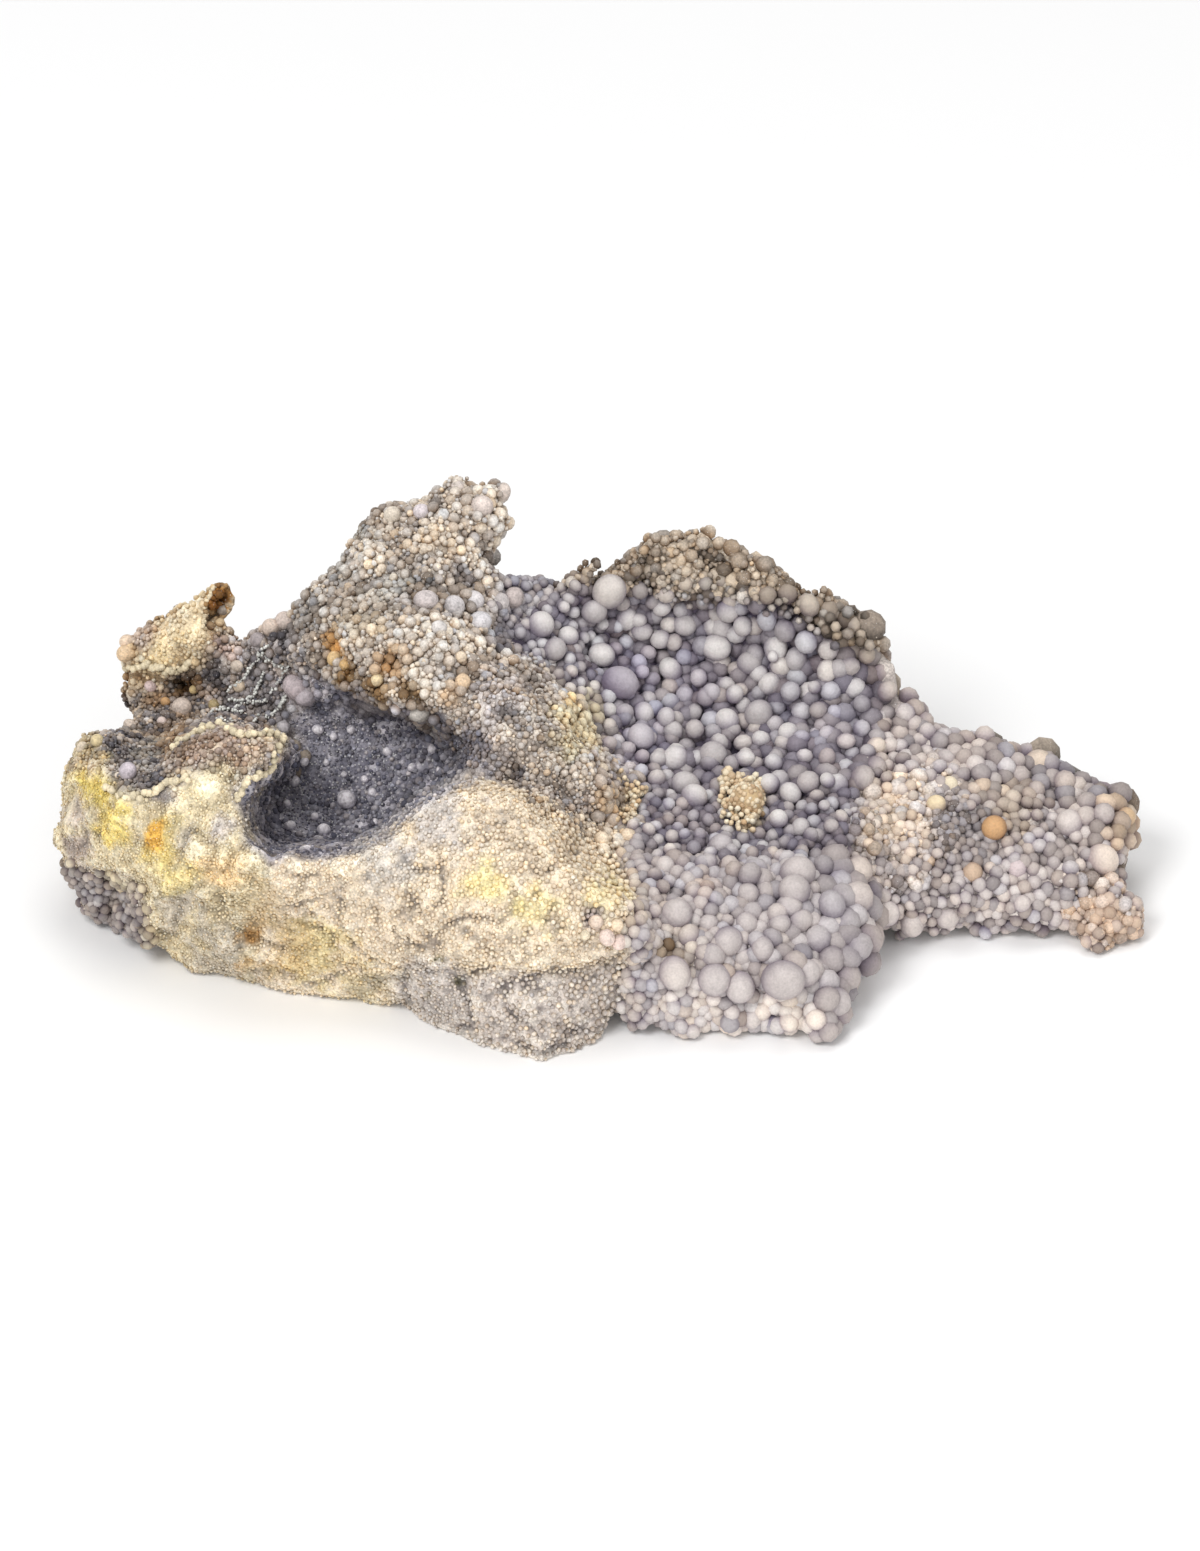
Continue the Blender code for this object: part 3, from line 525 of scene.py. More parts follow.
def finish(name, roughness, sugar, relief, glow, speckle, flecks):
    """A stony finish over the painted tint: sugar is the size of its crystals and relief their height, in mm.

    Glow is how much light goes on under its surface, speckle how uneven its colour is and flecks how large
    its white specks are: partly white crystals, partly painted glints.
    """
    material = bpy.data.materials.new(name)
    material.use_nodes = True
    tree = material.node_tree
    shader = tree.nodes["Principled BSDF"]
    shader.inputs["Subsurface Weight"].default_value = glow
    shader.inputs["Subsurface Radius"].default_value = (1, 0.85, 0.9)
    shader.inputs["Subsurface Scale"].default_value = GLOW_DEPTH * MM
    place = Shade(tree.nodes.new("ShaderNodeTexCoord").outputs["Object"])
    tint = place.node("Attribute", {"attribute_name": "tint"}, {}, "Color")
    fine = place.node("TexNoise", {}, {"Vector": place, "Scale": 1 / (sugar * MM), "Detail": 3.0})
    broad = place.node("TexNoise", {}, {"Vector": place, "Scale": 0.25 / (sugar * MM), "Detail": 2.0})
    crystals = place.node("TexVoronoi", {}, {"Vector": place, "Scale": 0.7 / (sugar * MM)}, "Distance")
    grey = (fine - 0.5) * speckle + (broad - 0.5) * speckle + 1
    uneven = place.node("Mix", {"data_type": "RGBA", "blend_type": "MULTIPLY"}, {0: 1.0, 6: tint, 7: grey}, 2)
    # White specks painted into the colour: partly white crystals, partly painted glints.
    fleck = place.maths("LESS_THAN", crystals, flecks) * 0.7
    paint = place.node("Mix", {"data_type": "RGBA"}, {0: fleck, 6: uneven, 7: CRYSTAL_WHITE_AND_GLINT}, 2)
    tree.links.new(paint.socket, shader.inputs["Base Color"])
    gloss = roughness + (fine - 0.5) * 0.3
    tree.links.new(gloss.socket, shader.inputs["Roughness"])
    height = fine - crystals * 0.5
    bump = place.node("Bump", {}, {"Height": height, "Strength": 0.6, "Distance": relief * MM})
    tree.links.new(bump.socket, shader.inputs["Normal"])
    return material


skin_places, skin_bump, skin_hidden = grown(skin, stone_relief)
painted(skin.data, stone_colour(skin_places, skin_bump, skin_hidden))
skin.data.materials.clear()
skin.data.materials.append(
    finish("weathered_stone", roughness=0.75, sugar=0.35, relief=0.35, glow=0.05, speckle=1.3, flecks=0.18)
)
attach(skin, "root")
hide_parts("chalcedony_body")

# The basin's crust and its grapes: frosted chalcedony balls, pale on top and lilac and darker where they
# meet, partly their own lilac tint and partly painted shade. Each is set on the crust's own skin, the ones
# that stand out first and the rest closed in round them, and the bed and the low grapes between them are
# painted darker, as painted shade in the gaps. One tan button is overgrown with fine grains, and small tan
# beads fringe the rear rim.
CRUST_GRAIN = 0.5
SPOT_DISTANCE = 200
UNEVEN = 0.12
MOST_REACH = 1.13
BASIN_GRAPES = [
    (0.3, 16.9, 1.8), (9, 24.9, 1.3), (-1.3, 23.2, 1.8), (1.5, 25.7, 2.4), (2.8, 22.9, 1.7),
    (5.6, 21.5, 1.5), (17.8, 24.6, 1.7), (20.4, 21.6, 1.5), (17.8, 21.4, 1.7), (11.3, 15.9, 0.8),
    (10.8, 14.2, 1.7), (4.9, 13.8, 1), (1.5, 12, 2.4), (15.1, 10.9, 1.5), (18.2, 10.3, 1.3),
    (24.5, 15.9, 0.8), (24.2, 18, 1.8), (33.7, 14.6, 1.5), (24.4, 12.4, 1.7), (22.4, 8.8, 2),
    (31.2, 11.1, 1), (9, 7.8, 1.4), (5.9, 4.6, 2), (16, 2.3, 2), (19.5, 1.3, 1.3), (7.8, 1.1, 1.3),
    (18.1, 6.5, 1.8), (27, 4.6, 1.5), (25.3, 6.5, 1.4), (2.4, 7.4, 1.5), (5, 8.8, 1.5), (10.2, 5.1, 1.4),
    (11.1, 1.9, 1.8), (16.1, 17.7, 2), (20.7, 15.1, 1.7), (9.4, 19.4, 1.4), (11.6, 21.4, 1.8),
    (32.8, -2.3, 1.1), (12.6, -4.1, 1.7), (11.5, -2.3, 2), (30.7, -5.5, 0.8), (28.1, -7.9, 1.4),
    (24.8, -7.5, 1.3), (26.7, -2.9, 1.5), (24.6, -2, 1.5), (32.9, -10.7, 2), (16.7, -10.2, 1.8),
    (-9.1, 20.4, 1.8), (-7, 17.6, 1.7), (-4.5, 18.3, 1.4), (19.8, -4.3, 2.3, (198, 170, 130)),
]


def seen_at(spots, tree):
    """Where the line of sight through each spot of the view meets a skin.

    Returns the places, their normals and what else was given with each spot.
    """
    places = []
    normals = []
    rest = []
    for across, up, *more in spots:
        middle = Vector((across + VIEW_MIDDLE[0], 0, 0)) + Vector(VIEW_UP) * (up + VIEW_MIDDLE[1])
        start = middle - Vector(LOOK) * SPOT_DISTANCE
        hit, normal, _, _ = tree.ray_cast(start * MM, Vector(LOOK))
        if hit is not None:
            places.append(hit / MM)
            normals.append(normal)
            rest.append(more)
    return np.array(places), np.array(normals), rest


def sprinkled(obj, share, count, seed):
    """Random points on a skin, thicker where its vertices' share is higher: places and normals."""
    draw = np.random.default_rng(seed)
    mesh = obj.data
    mesh.calc_loop_triangles()
    corners = np.empty(len(mesh.loop_triangles) * 3, np.int32)
    mesh.loop_triangles.foreach_get("vertices", corners)
    corners = corners.reshape(-1, 3)
    places = read(mesh, "vertices", "co", 3) / MM
    normals = read(mesh, "vertices", "normal", 3)
    a, b, c = (places[corners[:, i]] for i in range(3))
    weight = np.linalg.norm(np.cross(b - a, c - a), axis=1) * share[corners].mean(axis=1)
    chosen = corners[draw.choice(len(weight), count, p=weight / weight.sum())]
    parts = draw.dirichlet((1, 1, 1), count)[:, :, None]
    facing = (normals[chosen] * parts).sum(axis=1)
    return (places[chosen] * parts).sum(axis=1), facing / np.linalg.norm(facing, axis=1)[:, None]


def spread(places, gaps):
    """Which places to keep so that each keeps its gap to the later ones."""
    tree = KDTree(len(places))
    for i, place in enumerate(places):
        tree.insert(place, i)
    tree.balance()
    free = np.ones(len(places), bool)
    kept = []
    for i, place in enumerate(places):
        if free[i]:
            kept.append(i)
            for _, near, _ in tree.find_range(place, gaps[i]):
                free[near] = False
    return kept


def balls(name, centres, radii, outs, crowns, feet, rounding, seed):
    """One mesh of slightly uneven balls, each painted from its crown's colour to its foot's, darker towards
    the skin it stands on as painted shade.

    Rounding is 1, 2 or 3, for balls of 20, 60 or 320 faces.
    """
    draw = np.random.default_rng(seed)
    bm = bmesh.new()
    bmesh.ops.create_icosphere(bm, subdivisions=3 if rounding == 3 else 1, radius=1)
    if rounding == 2:
        long_edges = list(bm.edges)
        for vert in bmesh.ops.poke(bm, faces=bm.faces)["verts"]:
            vert.co.normalize()
        bmesh.ops.rotate_edges(bm, edges=long_edges, use_ccw=False)
    corners = np.array([v.co for v in bm.verts])
    faces = np.array([[v.index for v in f.verts] for f in bm.faces])
    bm.free()
    count = len(centres)
    turns = np.linalg.qr(draw.normal(size=(count, 3, 3)))[0]
    turns *= np.sign(np.linalg.det(turns))[:, None, None]
    stretch = draw.uniform(1 - UNEVEN, 1 + UNEVEN, (count, 1, 3))
    points = np.einsum("nij,nkj->nki", turns, corners * stretch)
    height = np.einsum("nki,ni->nk", points, outs)
    # Each ball is painted towards its foot's darker colour on its lower side, as painted shade.
    share = eased(0.42 + 0.58 * height)[:, :, None]
    tints = feet[:, None] + (crowns - feet)[:, None] * share
    reach = radii[:, None] * MOST_REACH
    centres = np.clip(centres, np.array(cad_box[0]) / MM + reach, np.array(cad_box[1]) / MM - reach)
    points = points * radii[:, None, None] + centres[:, None]
    mesh = bpy.data.meshes.new(name)
    triangles = faces + np.arange(count)[:, None, None] * len(corners)
    mesh.from_pydata((points.reshape(-1, 3) * MM).tolist(), [], triangles.reshape(-1, 3).tolist())
    mesh.shade_smooth()
    painted(mesh, tints.reshape(-1, 3))
    obj = bpy.data.objects.new(name, mesh)
    bpy.context.scene.collection.objects.link(obj)
    return obj


def standing(name, spots, tree, lift, top, tones, foot, seed):
    """The balls that stand out, each given by where it shows, its radius and, if it is stained, its colour.

    Lift is how high their middles sit, in radii. The small ones are raised until they reach up to top. Foot
    is how much darker they are painted where they meet, as painted shade. Returns the balls, their centres
    and their radii.
    """
    draw = np.random.default_rng(seed)
    places, normals, rest = seen_at(spots, tree)
    radii = np.array([radius for radius, *_ in rest])
    centres = places + normals * np.maximum(radii * lift, top - radii)[:, None]
    crowns = stone_colour(centres, draw.uniform(*tones, len(radii)), np.zeros(len(radii)), 0.2)
    for i, (_, *stain) in enumerate(rest):
        if stain:
            crowns[i] = stain[0]
    return balls(name, centres, radii, normals, crowns, crowns * foot, 3, seed), centres, radii


def clustered(name, obj, share, sizes, count, closeness, lift, tones, foot, rounding, seed,
              taken=None, hidden=0, warmth=0.012, mottle=0.35, coat=None, knob_shading=0):
    """Balls of mixed sizes all over the part of a skin that share marks, the large ones first.

    Count is how many are tried, and closeness the gap that each keeps, in radii. Taken is the centres and
    radii of balls that they keep clear of. They take the stone's colour under them or, where it is given,
    their own coat. Warmth and mottle are how uneven that colour is, and the last setting is how much paler
    they are painted on the skin's knobs than between them: painted light on the knobs, painted shade between.
    """
    draw = np.random.default_rng(seed)
    places, normals = sprinkled(obj, share, count, seed)
    low, high = sizes
    radii = low + (high - low) * draw.random(count) ** 1.4 * np.clip(1.9 * lumps(places, 7, seed), 0.35, 1)
    order = np.argsort(-radii)
    places, normals, radii = places[order], normals[order], radii[order]
    gaps = radii * closeness
    if taken is not None:
        places = np.concatenate((taken[0], places))
        gaps = np.concatenate((taken[1] * 0.8, gaps))
    kept = np.array(spread(places, gaps))
    if taken is not None:
        places = places[len(taken[0]):]
        kept = kept[kept >= len(taken[0])] - len(taken[0])
    places, normals, radii = places[kept], normals[kept], radii[kept]
    raised = draw.uniform(*lift, len(kept))
    centres = places + normals * (radii * raised)[:, None]
    # Grains on the skin's knobs are painted paler and those between them darker, as painted light and shade.
    tone = draw.uniform(*tones, len(kept)) + knob_shading * (2 * lumps(places, KNOB_SIZE, KNOB_SEED) - 1)
    if coat is None:
        crowns = stone_colour(centres, tone, np.full(len(kept), float(hidden)), mottle)
    else:
        crowns = coated(coat, np.clip(tone, -1, 1))
    crowns *= 1 + draw.normal(size=(len(kept), 1)) * (warmth, 0, -1.5 * warmth)
    return balls(name, centres, radii, normals, crowns, crowns * foot, rounding, seed)


def worn(material, slot, node, *pieces):
    """Gives pieces their material, attaches them to the root and hides their solid. Slot is not used."""
    for piece in pieces:
        piece.data.materials.clear()
        piece.data.materials.append(material)
        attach(piece, "root")
        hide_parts(node)


def overgrown(name, centre, radius, coat, sizes, count, closeness, tones, foot, seed):
    """Fine grains all round one ball."""
    draw = np.random.default_rng(seed)
    outs = draw.normal(size=(count, 3))
    outs /= np.linalg.norm(outs, axis=1)[:, None]
    radii = draw.uniform(*sizes, count)
    places = centre + outs * radius
    kept = spread(places, radii * closeness)
    crowns = coated(coat, draw.uniform(*tones, len(kept)))
    return balls(name, places[kept], radii[kept], outs[kept], crowns, crowns * foot, 1, seed)


def crust_skin(name, node):
    """A crust's solid as one fine, even skin."""
    crust = added(name, merged(node))
    changed(crust, "REMESH", mode="VOXEL", voxel_size=CRUST_GRAIN * MM, use_smooth_shade=True)
    return changed(crust, "SMOOTH", factor=0.5, iterations=5)


def crust_relief(places, normals, hidden):
    """A crust is raised a little, in fine lumps."""
    return 0.15 + 0.2 * rough(places, 2, 31)


def facing_share(crust):
    """How far each part of a crust faces the viewer, from 0 to 1."""
    return eased(0.5 - 2 * read(crust.data, "vertices", "normal", 3) @ LOOK)


# The grapes' feet are painted lilac and darker: partly their own lilac tint, partly painted shade.
GRAPE_FOOT_TINT_AND_SHADE = np.array((0.6, 0.57, 0.65))
# The bed is painted darker and more lilac than its coats, as painted shade under the grapes.
BED_PAINTED_SHADE = (0.72, 0.69, 0.78)
BUTTONS = [
    [(17, -1), (20, -1.5), (22.5, -2), (22.5, -6), (20.5, -8.5), (17.5, -6)],
    [(-0.5, -1), (4, -1), (6, -4), (3.5, -7), (0, -6)],
]
TAN_GRAINS = ((150, 114, 80), (222, 194, 158), (250, 236, 208))
basin = crust_skin("basin_bed", "basin_crust")
basin_tree = tree_of(basin)
basin_places, basin_bump, _ = grown(basin, crust_relief)
# The bed takes its coats' hollow colours all over, as painted shade between the grapes.
bed_colours = stone_colour(basin_places, basin_bump - 1, np.zeros(len(basin_places)))
painted(basin.data, bed_colours * BED_PAINTED_SHADE)
basin_share = facing_share(basin)
button_share = np.max([within(outline, shown(basin_places), 0.6) for outline in BUTTONS], axis=0)
rim_share = within(RIM, shown(basin_places), 1)
great, great_centres, great_radii = standing(
    "great_grapes", BASIN_GRAPES, basin_tree, lift=0.8, top=3.2, tones=(0.3, 1), foot=GRAPE_FOOT_TINT_AND_SHADE, seed=41
)
common = clustered(
    "common_grapes", basin, basin_share * (1 - button_share), sizes=(0.9, 1.9), count=3000, closeness=1.75,
    lift=(0.2, 1), tones=(-0.1, 0.9), foot=GRAPE_FOOT_TINT_AND_SHADE, rounding=2, seed=43, taken=(great_centres, great_radii)
)
# The low grapes are painted darker, with darker feet, as painted shade in the gaps between the others.
low = clustered(
    "low_grapes", basin, basin_share, sizes=(1, 1.8), count=9000, closeness=1.15, lift=(-0.5, 0.1),
    tones=(-1, -0.4), foot=GRAPE_FOOT_TINT_AND_SHADE * 0.9, rounding=2, seed=45
)
buttons = clustered(
    "tan_buttons", basin, button_share, sizes=(0.4, 0.8), count=4000, closeness=0.6, lift=(1.5, 5),
    tones=(-0.3, 1), foot=0.7, rounding=1, seed=47, coat=TAN_GRAINS
)
knob_grains = overgrown(
    "knob_grains", great_centres[-1], great_radii[-1], TAN_GRAINS, sizes=(0.28, 0.6), count=500,
    closeness=1.2, tones=(-0.5, 1), foot=0.7, seed=48
)
beads = clustered(
    "rim_beads", basin, rim_share, sizes=(0.4, 0.95), count=3000, closeness=1.2, lift=(0.8, 3),
    tones=(-0.7, 0.8), foot=0.6, rounding=1, seed=49, warmth=0.02, mottle=0.7
)
frosted = finish(
    "frosted_grapes", roughness=0.55, sugar=0.3, relief=0.12, glow=0.2, speckle=0.35, flecks=0.05
)
worn(frosted, "lilac_grapes", "basin_crust", basin, great, common, low, buttons, knob_grains, beads)

# The pocket's druse: a crust of dark slate quartz crystals grown over the whole bowl of the pocket, with a
# fine glitter of white specks that are partly pale crystals and partly painted glints. A few small pale
# chalcedony balls stand on it.
POCKET_BALLS = [
    (-35.6, -3.7, 1.4), (-43.5, -7.4, 0.8), (-44.2, -4.3, 0.6), (-24.5, -1.6, 1.1), (-38.8, -8.2, 0.9),
    (-46.9, -6.9, 1), (-43.3, -1, 0.8), (-48, -2.9, 0.8), (-22, 0.6, 0.7), (-26, 1, 0.7), (-23.2, 3.7, 0.7),
    (-33, -0.6, 0.6), (-31.9, -2.7, 0.7), (-31.5, -6.7, 0.5), (-39.8, 6.7, 0.8), (-37.5, 5.5, 0.6),
    (-35, 6.7, 0.7), (-29.7, 3.3, 0.7), (-38.5, 1.8, 0.5), (-25.2, -4, 0.6), (-40, -6, 0.6), (-36, 0, 0.5),
    (-42, 2, 0.7),
]
# The pale balls are painted darker and bluer at their feet, as painted shade.
PALE_BALL_FOOT_SHADE = np.array((0.75, 0.75, 0.8))
pocket = crust_skin("pocket_bed", "pocket_crust")
pocket_tree = tree_of(pocket)
pocket_places, pocket_bump, _ = grown(pocket, crust_relief)
painted(pocket.data, stone_colour(pocket_places, pocket_bump, np.zeros(len(pocket_places))))
pale, _, _ = standing(
    "pocket_balls", POCKET_BALLS, pocket_tree, lift=0.7, top=0, tones=(1, 1), foot=PALE_BALL_FOOT_SHADE, seed=51
)
grit = clustered(
    "pocket_grit", pocket, facing_share(pocket), sizes=(0.18, 0.6), count=4000, closeness=1.6,
    lift=(-0.3, 0.5), tones=(-0.8, 0.7), foot=0.7, rounding=1, seed=53
)
druse = finish("slate_druse", roughness=0.45, sugar=0.4, relief=0.4, glow=0, speckle=1.2, flecks=0.22)
worn(druse, "dark_druse", "pocket_crust", pocket, pale, grit)

# The apron and the tongue: the same chalcedony grapes, softer and weathered to a warmer grey, grown straight
# on the stone. They go on in the notch behind the ridge and on the side lobe.
CRUST_GAP = 4
APRON_GRAPES = [
    (12.3, -14.6, 1.4), (9.1, -12.8, 1.5), (22.8, -13.9, 1.4), (27.3, -13.9, 2.4), (27, -16.3, 2.3),
    (20.6, -16.3, 1.5), (12.2, -17.6, 1), (24.9, -20.4, 1.5), (29.1, -20.4, 1.5), (32.6, -20.4, 1.4),
    (35.6, -19.8, 1.7), (12.5, -22.5, 1.5), (15, -20.7, 1.4), (17.6, -22.8, 2), (20.3, -20.9, 1.7),
    (22.5, -24, 1.8), (19.9, -25.1, 1.3), (15.3, -24.9, 1.7), (10.2, -27.2, 2.3), (10.6, -19.3, 2),
    (15.8, -28.1, 2.4), (19.3, -29.2, 2.2), (25.2, -28.1, 3), (28.1, -27.5, 2), (32.3, -31.3, 2),
    (39.3, -16.6, 1.4), (39.9, -19.3, 1.8), (55.3, -7.4, 1.7, (204, 160, 114)),
    (47.2, -4.3, 1.3, (228, 208, 172)), (49, -1.5, 1.2, (226, 212, 186)), (53, 1, 1.5),
    (61.5, 1.5, 2, (214, 196, 178)), (58.5, -13, 1.3, (206, 190, 190)), (52, -13.5, 1.4, (196, 170, 146)),
    (66, -7, 2), (70, -12, 2.2, (224, 208, 194)), (73.5, -6, 1.6, (210, 180, 144)), (37.5, -21, 1.5),
    (43.5, -20.5, 1.9), (48.5, -19.5, 1.7), (62.5, -22, 1.8, (214, 192, 172)), (59, -18, 1.2),
]
skin_tree = tree_of(skin)
# Nothing grows on the stone where one of the crusts lies just over it.
uncovered = np.array([
    all(tree.ray_cast(place, -Vector(LOOK), CRUST_GAP * MM)[0] is None for tree in (basin_tree, pocket_tree))
    for place in map(Vector, skin_places * MM)
])
skin_visible = (1 - skin_hidden) * uncovered
skin_spots = shown(skin_places) + 1.6 * np.stack([rough(skin_places, 4, seed) for seed in (61, 62)], axis=1)


def coat_of(blur, *outlines):
    """How much each part of the stone's seen skin belongs to any of these outlines."""
    return np.max([within(outline, skin_spots, blur) for outline in outlines], axis=0) * skin_visible


softs, soft_centres, soft_radii = standing(
    "apron_balls", APRON_GRAPES, skin_tree, lift=0.3, top=0, tones=(0.1, 0.6), foot=GRAPE_FOOT_TINT_AND_SHADE, seed=63
)
apron_grapes = clustered(
    "apron_grapes", skin, coat_of(0.6, APRON), sizes=(1, 2.4), count=4000, closeness=1, lift=(-0.3, 0.5),
    tones=(-0.4, 0.5), foot=GRAPE_FOOT_TINT_AND_SHADE, rounding=2, seed=65, taken=(soft_centres, soft_radii)
)
tongue_grapes = clustered(
    "tongue_grapes", skin, coat_of(0.6, TONGUE, NOTCH, LOBE), sizes=(0.75, 1.7), count=6000,
    closeness=1.1, lift=(-0.3, 0.7), tones=(-0.6, 0.6), foot=GRAPE_FOOT_TINT_AND_SHADE, rounding=2, seed=67,
    taken=(soft_centres, soft_radii)
)
soft_finish = finish("soft_grapes", roughness=0.6, sugar=0.3, relief=0.12, glow=0.1, speckle=0.4, flecks=0.05)
worn(soft_finish, "weathered_chalcedony", "chalcedony_body", softs, apron_grapes, tongue_grapes)

# The granules: tan and cream chalcedony grains, three sizes deep, that crowd the ridge, the rear rim, the
# fin, the flap, the wall's shoulder and the arc and tip of the tongue. Paler knobs stand among them.
PALE_KNOBS = [
    (-59.1, 9.4, 1.4, (204, 188, 176)), (-65.5, 0.4, 1.3, (190, 180, 186)),
    (-51.4, 15.4, 0.9, (214, 198, 182)), (-50.9, 12.6, 0.9, (216, 196, 172)),
    (-66.2, 6.9, 0.9, (206, 190, 176)), (-61.8, 7.5, 0.7, (210, 192, 184)), (-45, 6.6, 1, (196, 190, 192)),
    (-43.5, 9.4, 0.7, (210, 206, 208)), (-39.4, 11.7, 0.8, (190, 184, 192)),
    (-42.4, 12.8, 2, (206, 192, 194)), (-41, 11.6, 1.6, (198, 188, 192)),
    (-46.2, 20.6, 1.4, (206, 188, 174)), (-44, 21.6, 1.4, (202, 186, 176)), (-48, 19, 1.2, (166, 156, 156)),
    (-66.8, 17.2, 1.3, (226, 196, 160)), (-66.6, 18.7, 1.1, (220, 196, 172)),
    (-65, 20, 1.3, (212, 194, 182)), (-63.8, 21.4, 1.1, (222, 194, 160)),
    (-62.2, 22.8, 1.1, (214, 198, 180)), (-66.8, 14.4, 1.1, (208, 190, 170)),
    (-70, 4.6, 1, (204, 186, 146)), (-72, 3.6, 0.9, (214, 198, 176)), (-63.6, 12.6, 0.9, (214, 192, 188)),
    (-54.4, 9.8, 0.9, (168, 150, 112)), (-61.4, 10.2, 0.8, (200, 158, 112)),
    (-57.2, 12.2, 0.7, (214, 188, 138)), (-20.8, 23.5, 1.5, (206, 200, 200)),
    (-18.1, 24.3, 1.4, (216, 210, 210)), (-17.2, 21.4, 1.6, (210, 206, 208)),
    (-24.4, 24.1, 1.7, (200, 190, 188)), (-14.6, 24.1, 1.5, (198, 190, 188)),
    (-12.4, 25, 1.6, (186, 174, 170)), (-16.9, 37.7, 1.6, (212, 198, 190)),
    (-25, 36.8, 1.3, (206, 196, 198)), (-29.1, 36.4, 1.4, (214, 202, 186)),
    (-20.2, 41, 1.2, (206, 194, 186)), (-14, 40.4, 1.2, (210, 196, 186)),
    (-36.9, 16.3, 1.2, (218, 186, 138)), (-19.2, 12.7, 1.3, (222, 194, 162)),
    (-25, 9.4, 1.5, (198, 192, 184)), (-31, 13.4, 1, (226, 204, 164)), (-22.5, 20.4, 1.1, (210, 204, 200)),
    (-0.5, -20.4, 1.1, (230, 208, 190)), (0.8, -22.2, 1.2, (232, 210, 198)),
    (2.6, -22.8, 1.1, (218, 196, 186)), (2.2, -20.6, 0.9, (230, 208, 180)),
    (-2.2, -21.8, 0.8, (232, 216, 188)), (-35.6, 15.4, 0.9, (206, 170, 118)),
]
ARC = [(36, 0), (39, -2), (49, 3), (52, -4), (48, -12), (44, -16), (38, -15), (35, -8)]
TIP = [(64, -14), (70, -14), (80, -22), (80, -28), (66, -26)]
BRIDGE = [(-10, -2), (-3, 0), (3, 1.5), (6, -2), (6, -8), (1, -10), (-8, -5)]
SHOULDER = [(-78, 1), (-78, 9), (-70, 9), (-66, 6), (-67, 1)]
# The grains are painted darker and warmer at their feet, as painted shade.
GRAIN_FOOT_SHADE = np.array((0.64, 0.56, 0.48))
hollow = np.clip(2 * within(HORN_HOLLOW, shown(skin_places), 1), 0, 1)
knobs, knob_centres, knob_radii = standing(
    "pale_knobs", PALE_KNOBS, skin_tree, lift=0.35, top=0, tones=(0, 0.5), foot=0.78, seed=69
)
grainy = coat_of(0.8, RIDGE, RIM, FIN, SLATE_BAND, FLAP, ARC, TIP, BRIDGE, SHOULDER)
grainy *= 1 - np.maximum(hollow, within(CREAM_FIN, skin_spots, 0.8))
patchy = grainy * eased(2.5 * lumps(skin_places, 4, 72) - 0.7)
coarse = clustered(
    "coarse_grains", skin, grainy, sizes=(0.5, 1.4), count=5000, closeness=1.5, lift=(-0.1, 0.6),
    tones=(-0.5, 0.6), foot=GRAIN_FOOT_SHADE, rounding=2, seed=71, taken=(knob_centres, knob_radii),
    warmth=0.02, mottle=0.7, knob_shading=1.3
)
middling = clustered(
    "middling_grains", skin, grainy, sizes=(0.35, 0.75), count=9000, closeness=1.3, lift=(0.2, 1),
    tones=(-0.6, 0.6), foot=GRAIN_FOOT_SHADE, rounding=1, seed=73, warmth=0.02, mottle=0.7, knob_shading=1.3
)
small = clustered(
    "small_grains", skin, patchy, sizes=(0.25, 0.5), count=4500, closeness=1.5, lift=(0.6, 1.6),
    tones=(-0.2, 1), foot=GRAIN_FOOT_SHADE, rounding=1, seed=75, warmth=0.02, mottle=0.7, knob_shading=1
)
grain_finish = finish("grains", roughness=0.7, sugar=0.3, relief=0.15, glow=0.06, speckle=1, flecks=0.12)
worn(grain_finish, "weathered_chalcedony", "chalcedony_body", knobs, coarse, middling, small)

# The sugar: a fine cream druse of quartz over the front lump, the left wall and the fin's upper side. The
# same druse in slate lines the bare stone of the pocket, round its crust.
# The sugar's grains are painted darker and warmer at their feet, as painted shade.
SUGAR_FOOT_SHADE = np.array((0.75, 0.7, 0.62))
lining = clustered(
    "pocket_lining", skin, coat_of(0.8, POCKET), sizes=(0.22, 0.8), count=2600, closeness=1.5,
    lift=(-0.3, 0.5), tones=(-0.8, 0.5), foot=0.65, rounding=1, seed=79, mottle=0.8
)
sugary = coat_of(1, LUMP, WALL, CREAM_FIN) * (1 - hollow)
sugary *= 0.4 + eased(2.6 * lumps(skin_places, 3, 82) - 0.8)
sugar = clustered(
    "sugar", skin, sugary, sizes=(0.2, 0.5), count=17000, closeness=1.6, lift=(-0.3, 0.7),
    tones=(-0.3, 1), foot=SUGAR_FOOT_SHADE, rounding=1, seed=81, mottle=0.8
)
sugar_finish = finish("sugar", roughness=0.8, sugar=0.25, relief=0.1, glow=0.04, speckle=0.8, flecks=0.1)
worn(sugar_finish, "weathered_chalcedony", "chalcedony_body", lining, sugar)

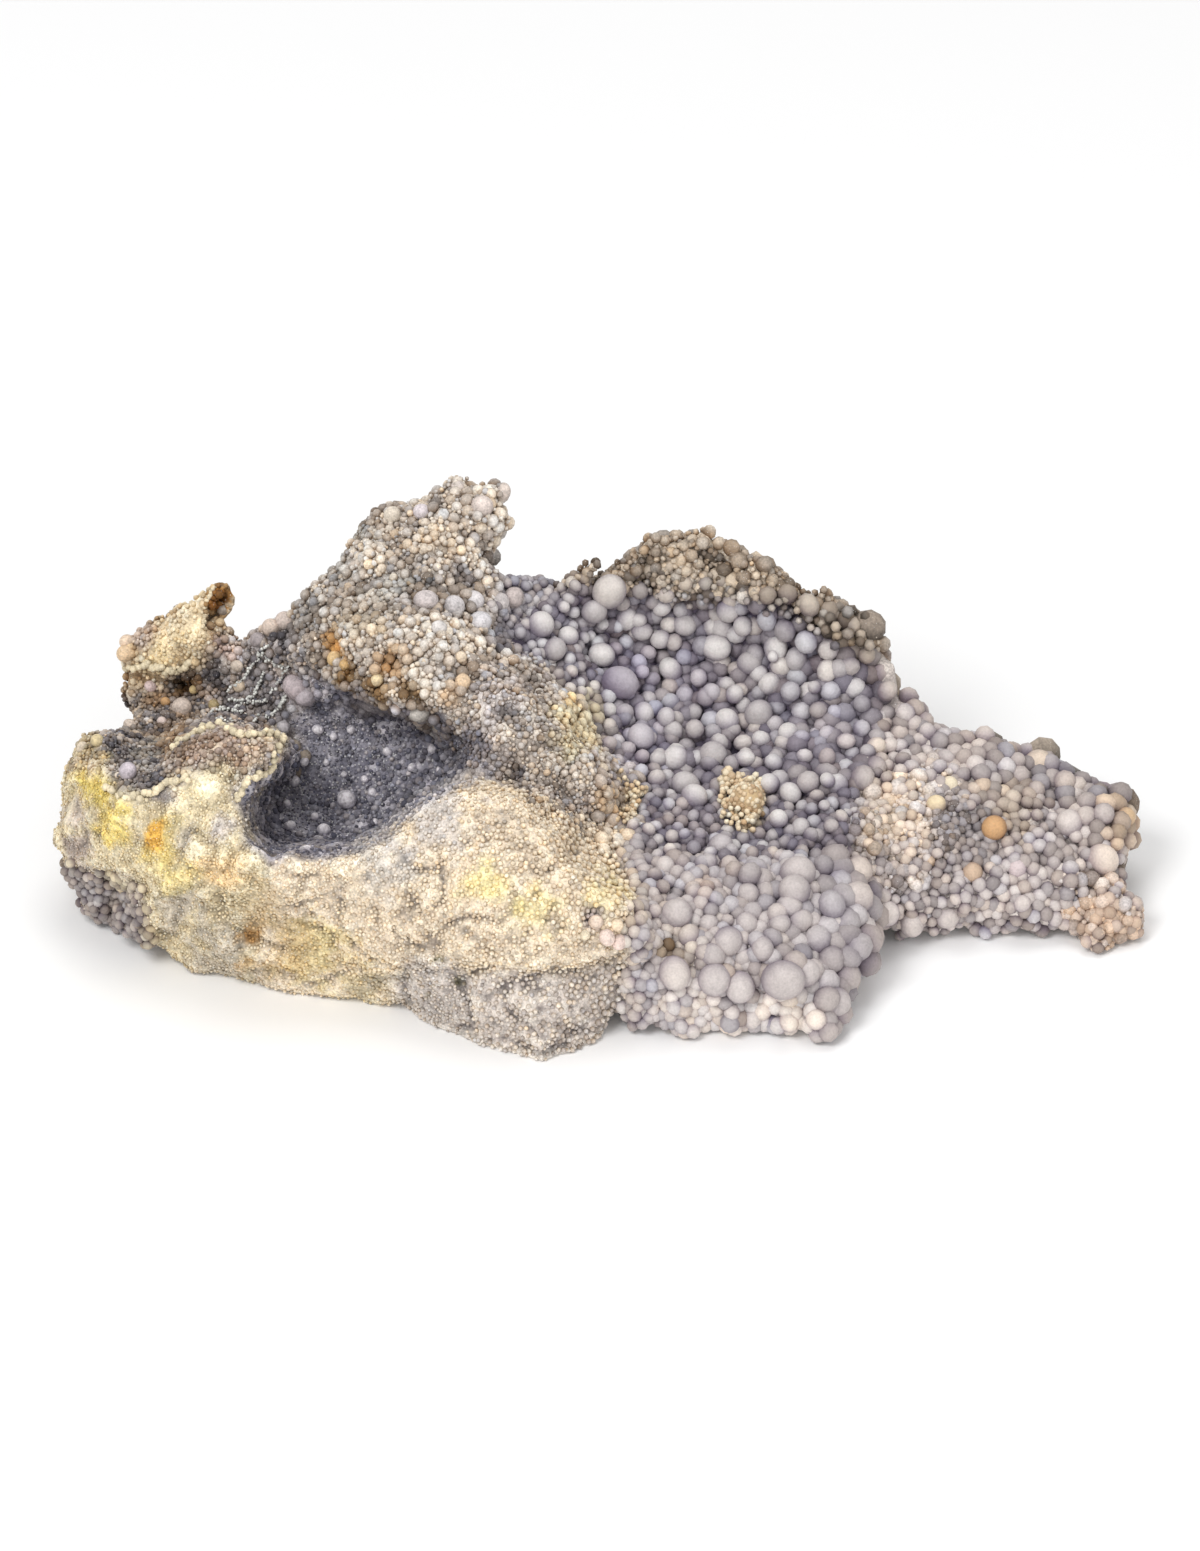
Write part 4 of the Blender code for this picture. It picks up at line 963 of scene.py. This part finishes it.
# The torn edges: thin cream lips along the horn, the flap and the wall's crest, and white quartz threads over
# the slate between the fin and the ridge. Each is a row of crystals grown along an edge.
HORN_LIPS = [
    [(-56, 20.8), (-56, 23), (-54.6, 26), (-52.8, 27.8), (-51, 28.8)],
    [(-50.9, 28), (-50.7, 25.5), (-51.2, 24)],
]
LIPS = [
    [(-59, 3.5), (-56, 5.4), (-53, 6.7), (-50, 5.4), (-44.5, 5.3)],
    [(-44.5, 5), (-46, 1.5), (-49, -1), (-50.2, -3.3)],
    [(-68.5, -2), (-66, -3), (-63, -3.2), (-59.5, -1.2), (-56.5, -0.4)],
    [(-68, 15), (-64, 16), (-60, 15), (-57, 16.5)],
]
THREADS = [
    [(-52.5, 12), (-49, 15.5), (-46, 18.5)], [(-51, 9), (-48.5, 11.5), (-47, 15)],
    [(-48, 17.5), (-44, 15.5)], [(-52, 10.5), (-49.5, 9.6), (-47, 10.5)], [(-46.5, 12), (-43.5, 16)],
    [(-55, 8), (-52.5, 9), (-50, 8)], [(-49, 7), (-46, 8.5), (-44.5, 11)], [(-53.5, 7.3), (-51, 7)],
    [(-45.5, 9.5), (-43.8, 13)],
]


def strung(name, lines, gap, sizes, lift, colour, seed):
    """Crystals in rows along lines of the view, on the stone's skin. Lift is how high they sit, in radii."""
    draw = np.random.default_rng(seed)
    spots = []
    for line in lines:
        for (ax, ay), (bx, by) in zip(line, line[1:]):
            for step in np.arange(0, 1, gap / math.hypot(bx - ax, by - ay)):
                across, up = draw.normal((ax + (bx - ax) * step, ay + (by - ay) * step), gap * 0.5)
                spots.append((across, up, draw.uniform(*sizes)))
    places, normals, rest = seen_at(spots, skin_tree)
    radii = np.array(rest)[:, 0]
    crowns = np.array(colour) * draw.uniform(0.85, 1.05, (len(radii), 1))
    centres = places + normals * radii[:, None] * lift
    # Each crystal is painted a fifth darker at its foot, as painted shade.
    return balls(name, centres, radii, normals, crowns, crowns * 0.8, 1, seed)


horn_lips = strung(
    "horn_lips", HORN_LIPS, gap=0.16, sizes=(0.2, 0.4), lift=0.8, colour=(240, 222, 188), seed=83
)
lips = strung("cream_lips", LIPS, gap=0.26, sizes=(0.3, 0.65), lift=1.1, colour=(240, 224, 190), seed=85)
threads = strung(
    "quartz_threads", THREADS, gap=0.18, sizes=(0.14, 0.28), lift=4, colour=(236, 236, 230), seed=87
)
edge_finish = finish("torn_edges", roughness=0.75, sugar=0.25, relief=0.1, glow=0.04, speckle=0.6, flecks=0.1)
worn(edge_finish, "weathered_chalcedony", "chalcedony_body", horn_lips, lips, threads)

# The back: rough weathered chalcedony balls, half sunk in the stone. They stop short of its flat foot, and
# none grows in the part that the two hollows shade from the front.
BALLS_START = 2.5
HOLLOWS_MIDDLE = -5
HOLLOWS_REACH = 50
HOLLOWS_BACK = 12
HOLLOWS_FLOOR = 10
along, deep, high = skin_places.T
in_hollows = (np.abs(along - HOLLOWS_MIDDLE) < HOLLOWS_REACH) & (deep < HOLLOWS_BACK) & (high > HOLLOWS_FLOOR)
back_share = skin_hidden * (high > BALLS_START) * ~in_hollows
back_share = back_share * (0.2 + eased(2.5 * lumps(skin_places, 9, 92) - 0.6))
back_balls = clustered(
    "back_balls", skin, back_share, sizes=(0.8, 2.6), count=4600, closeness=1.3, lift=(-0.5, 0.2),
    tones=(-0.6, 0.6), foot=0.65, rounding=2, seed=91, hidden=1, warmth=0.02, mottle=0.8
)
back_finish = finish("back_stone", roughness=0.8, sugar=0.35, relief=0.25, glow=0.04, speckle=1, flecks=0.1)
worn(back_finish, "weathered_chalcedony", "chalcedony_body", back_balls)
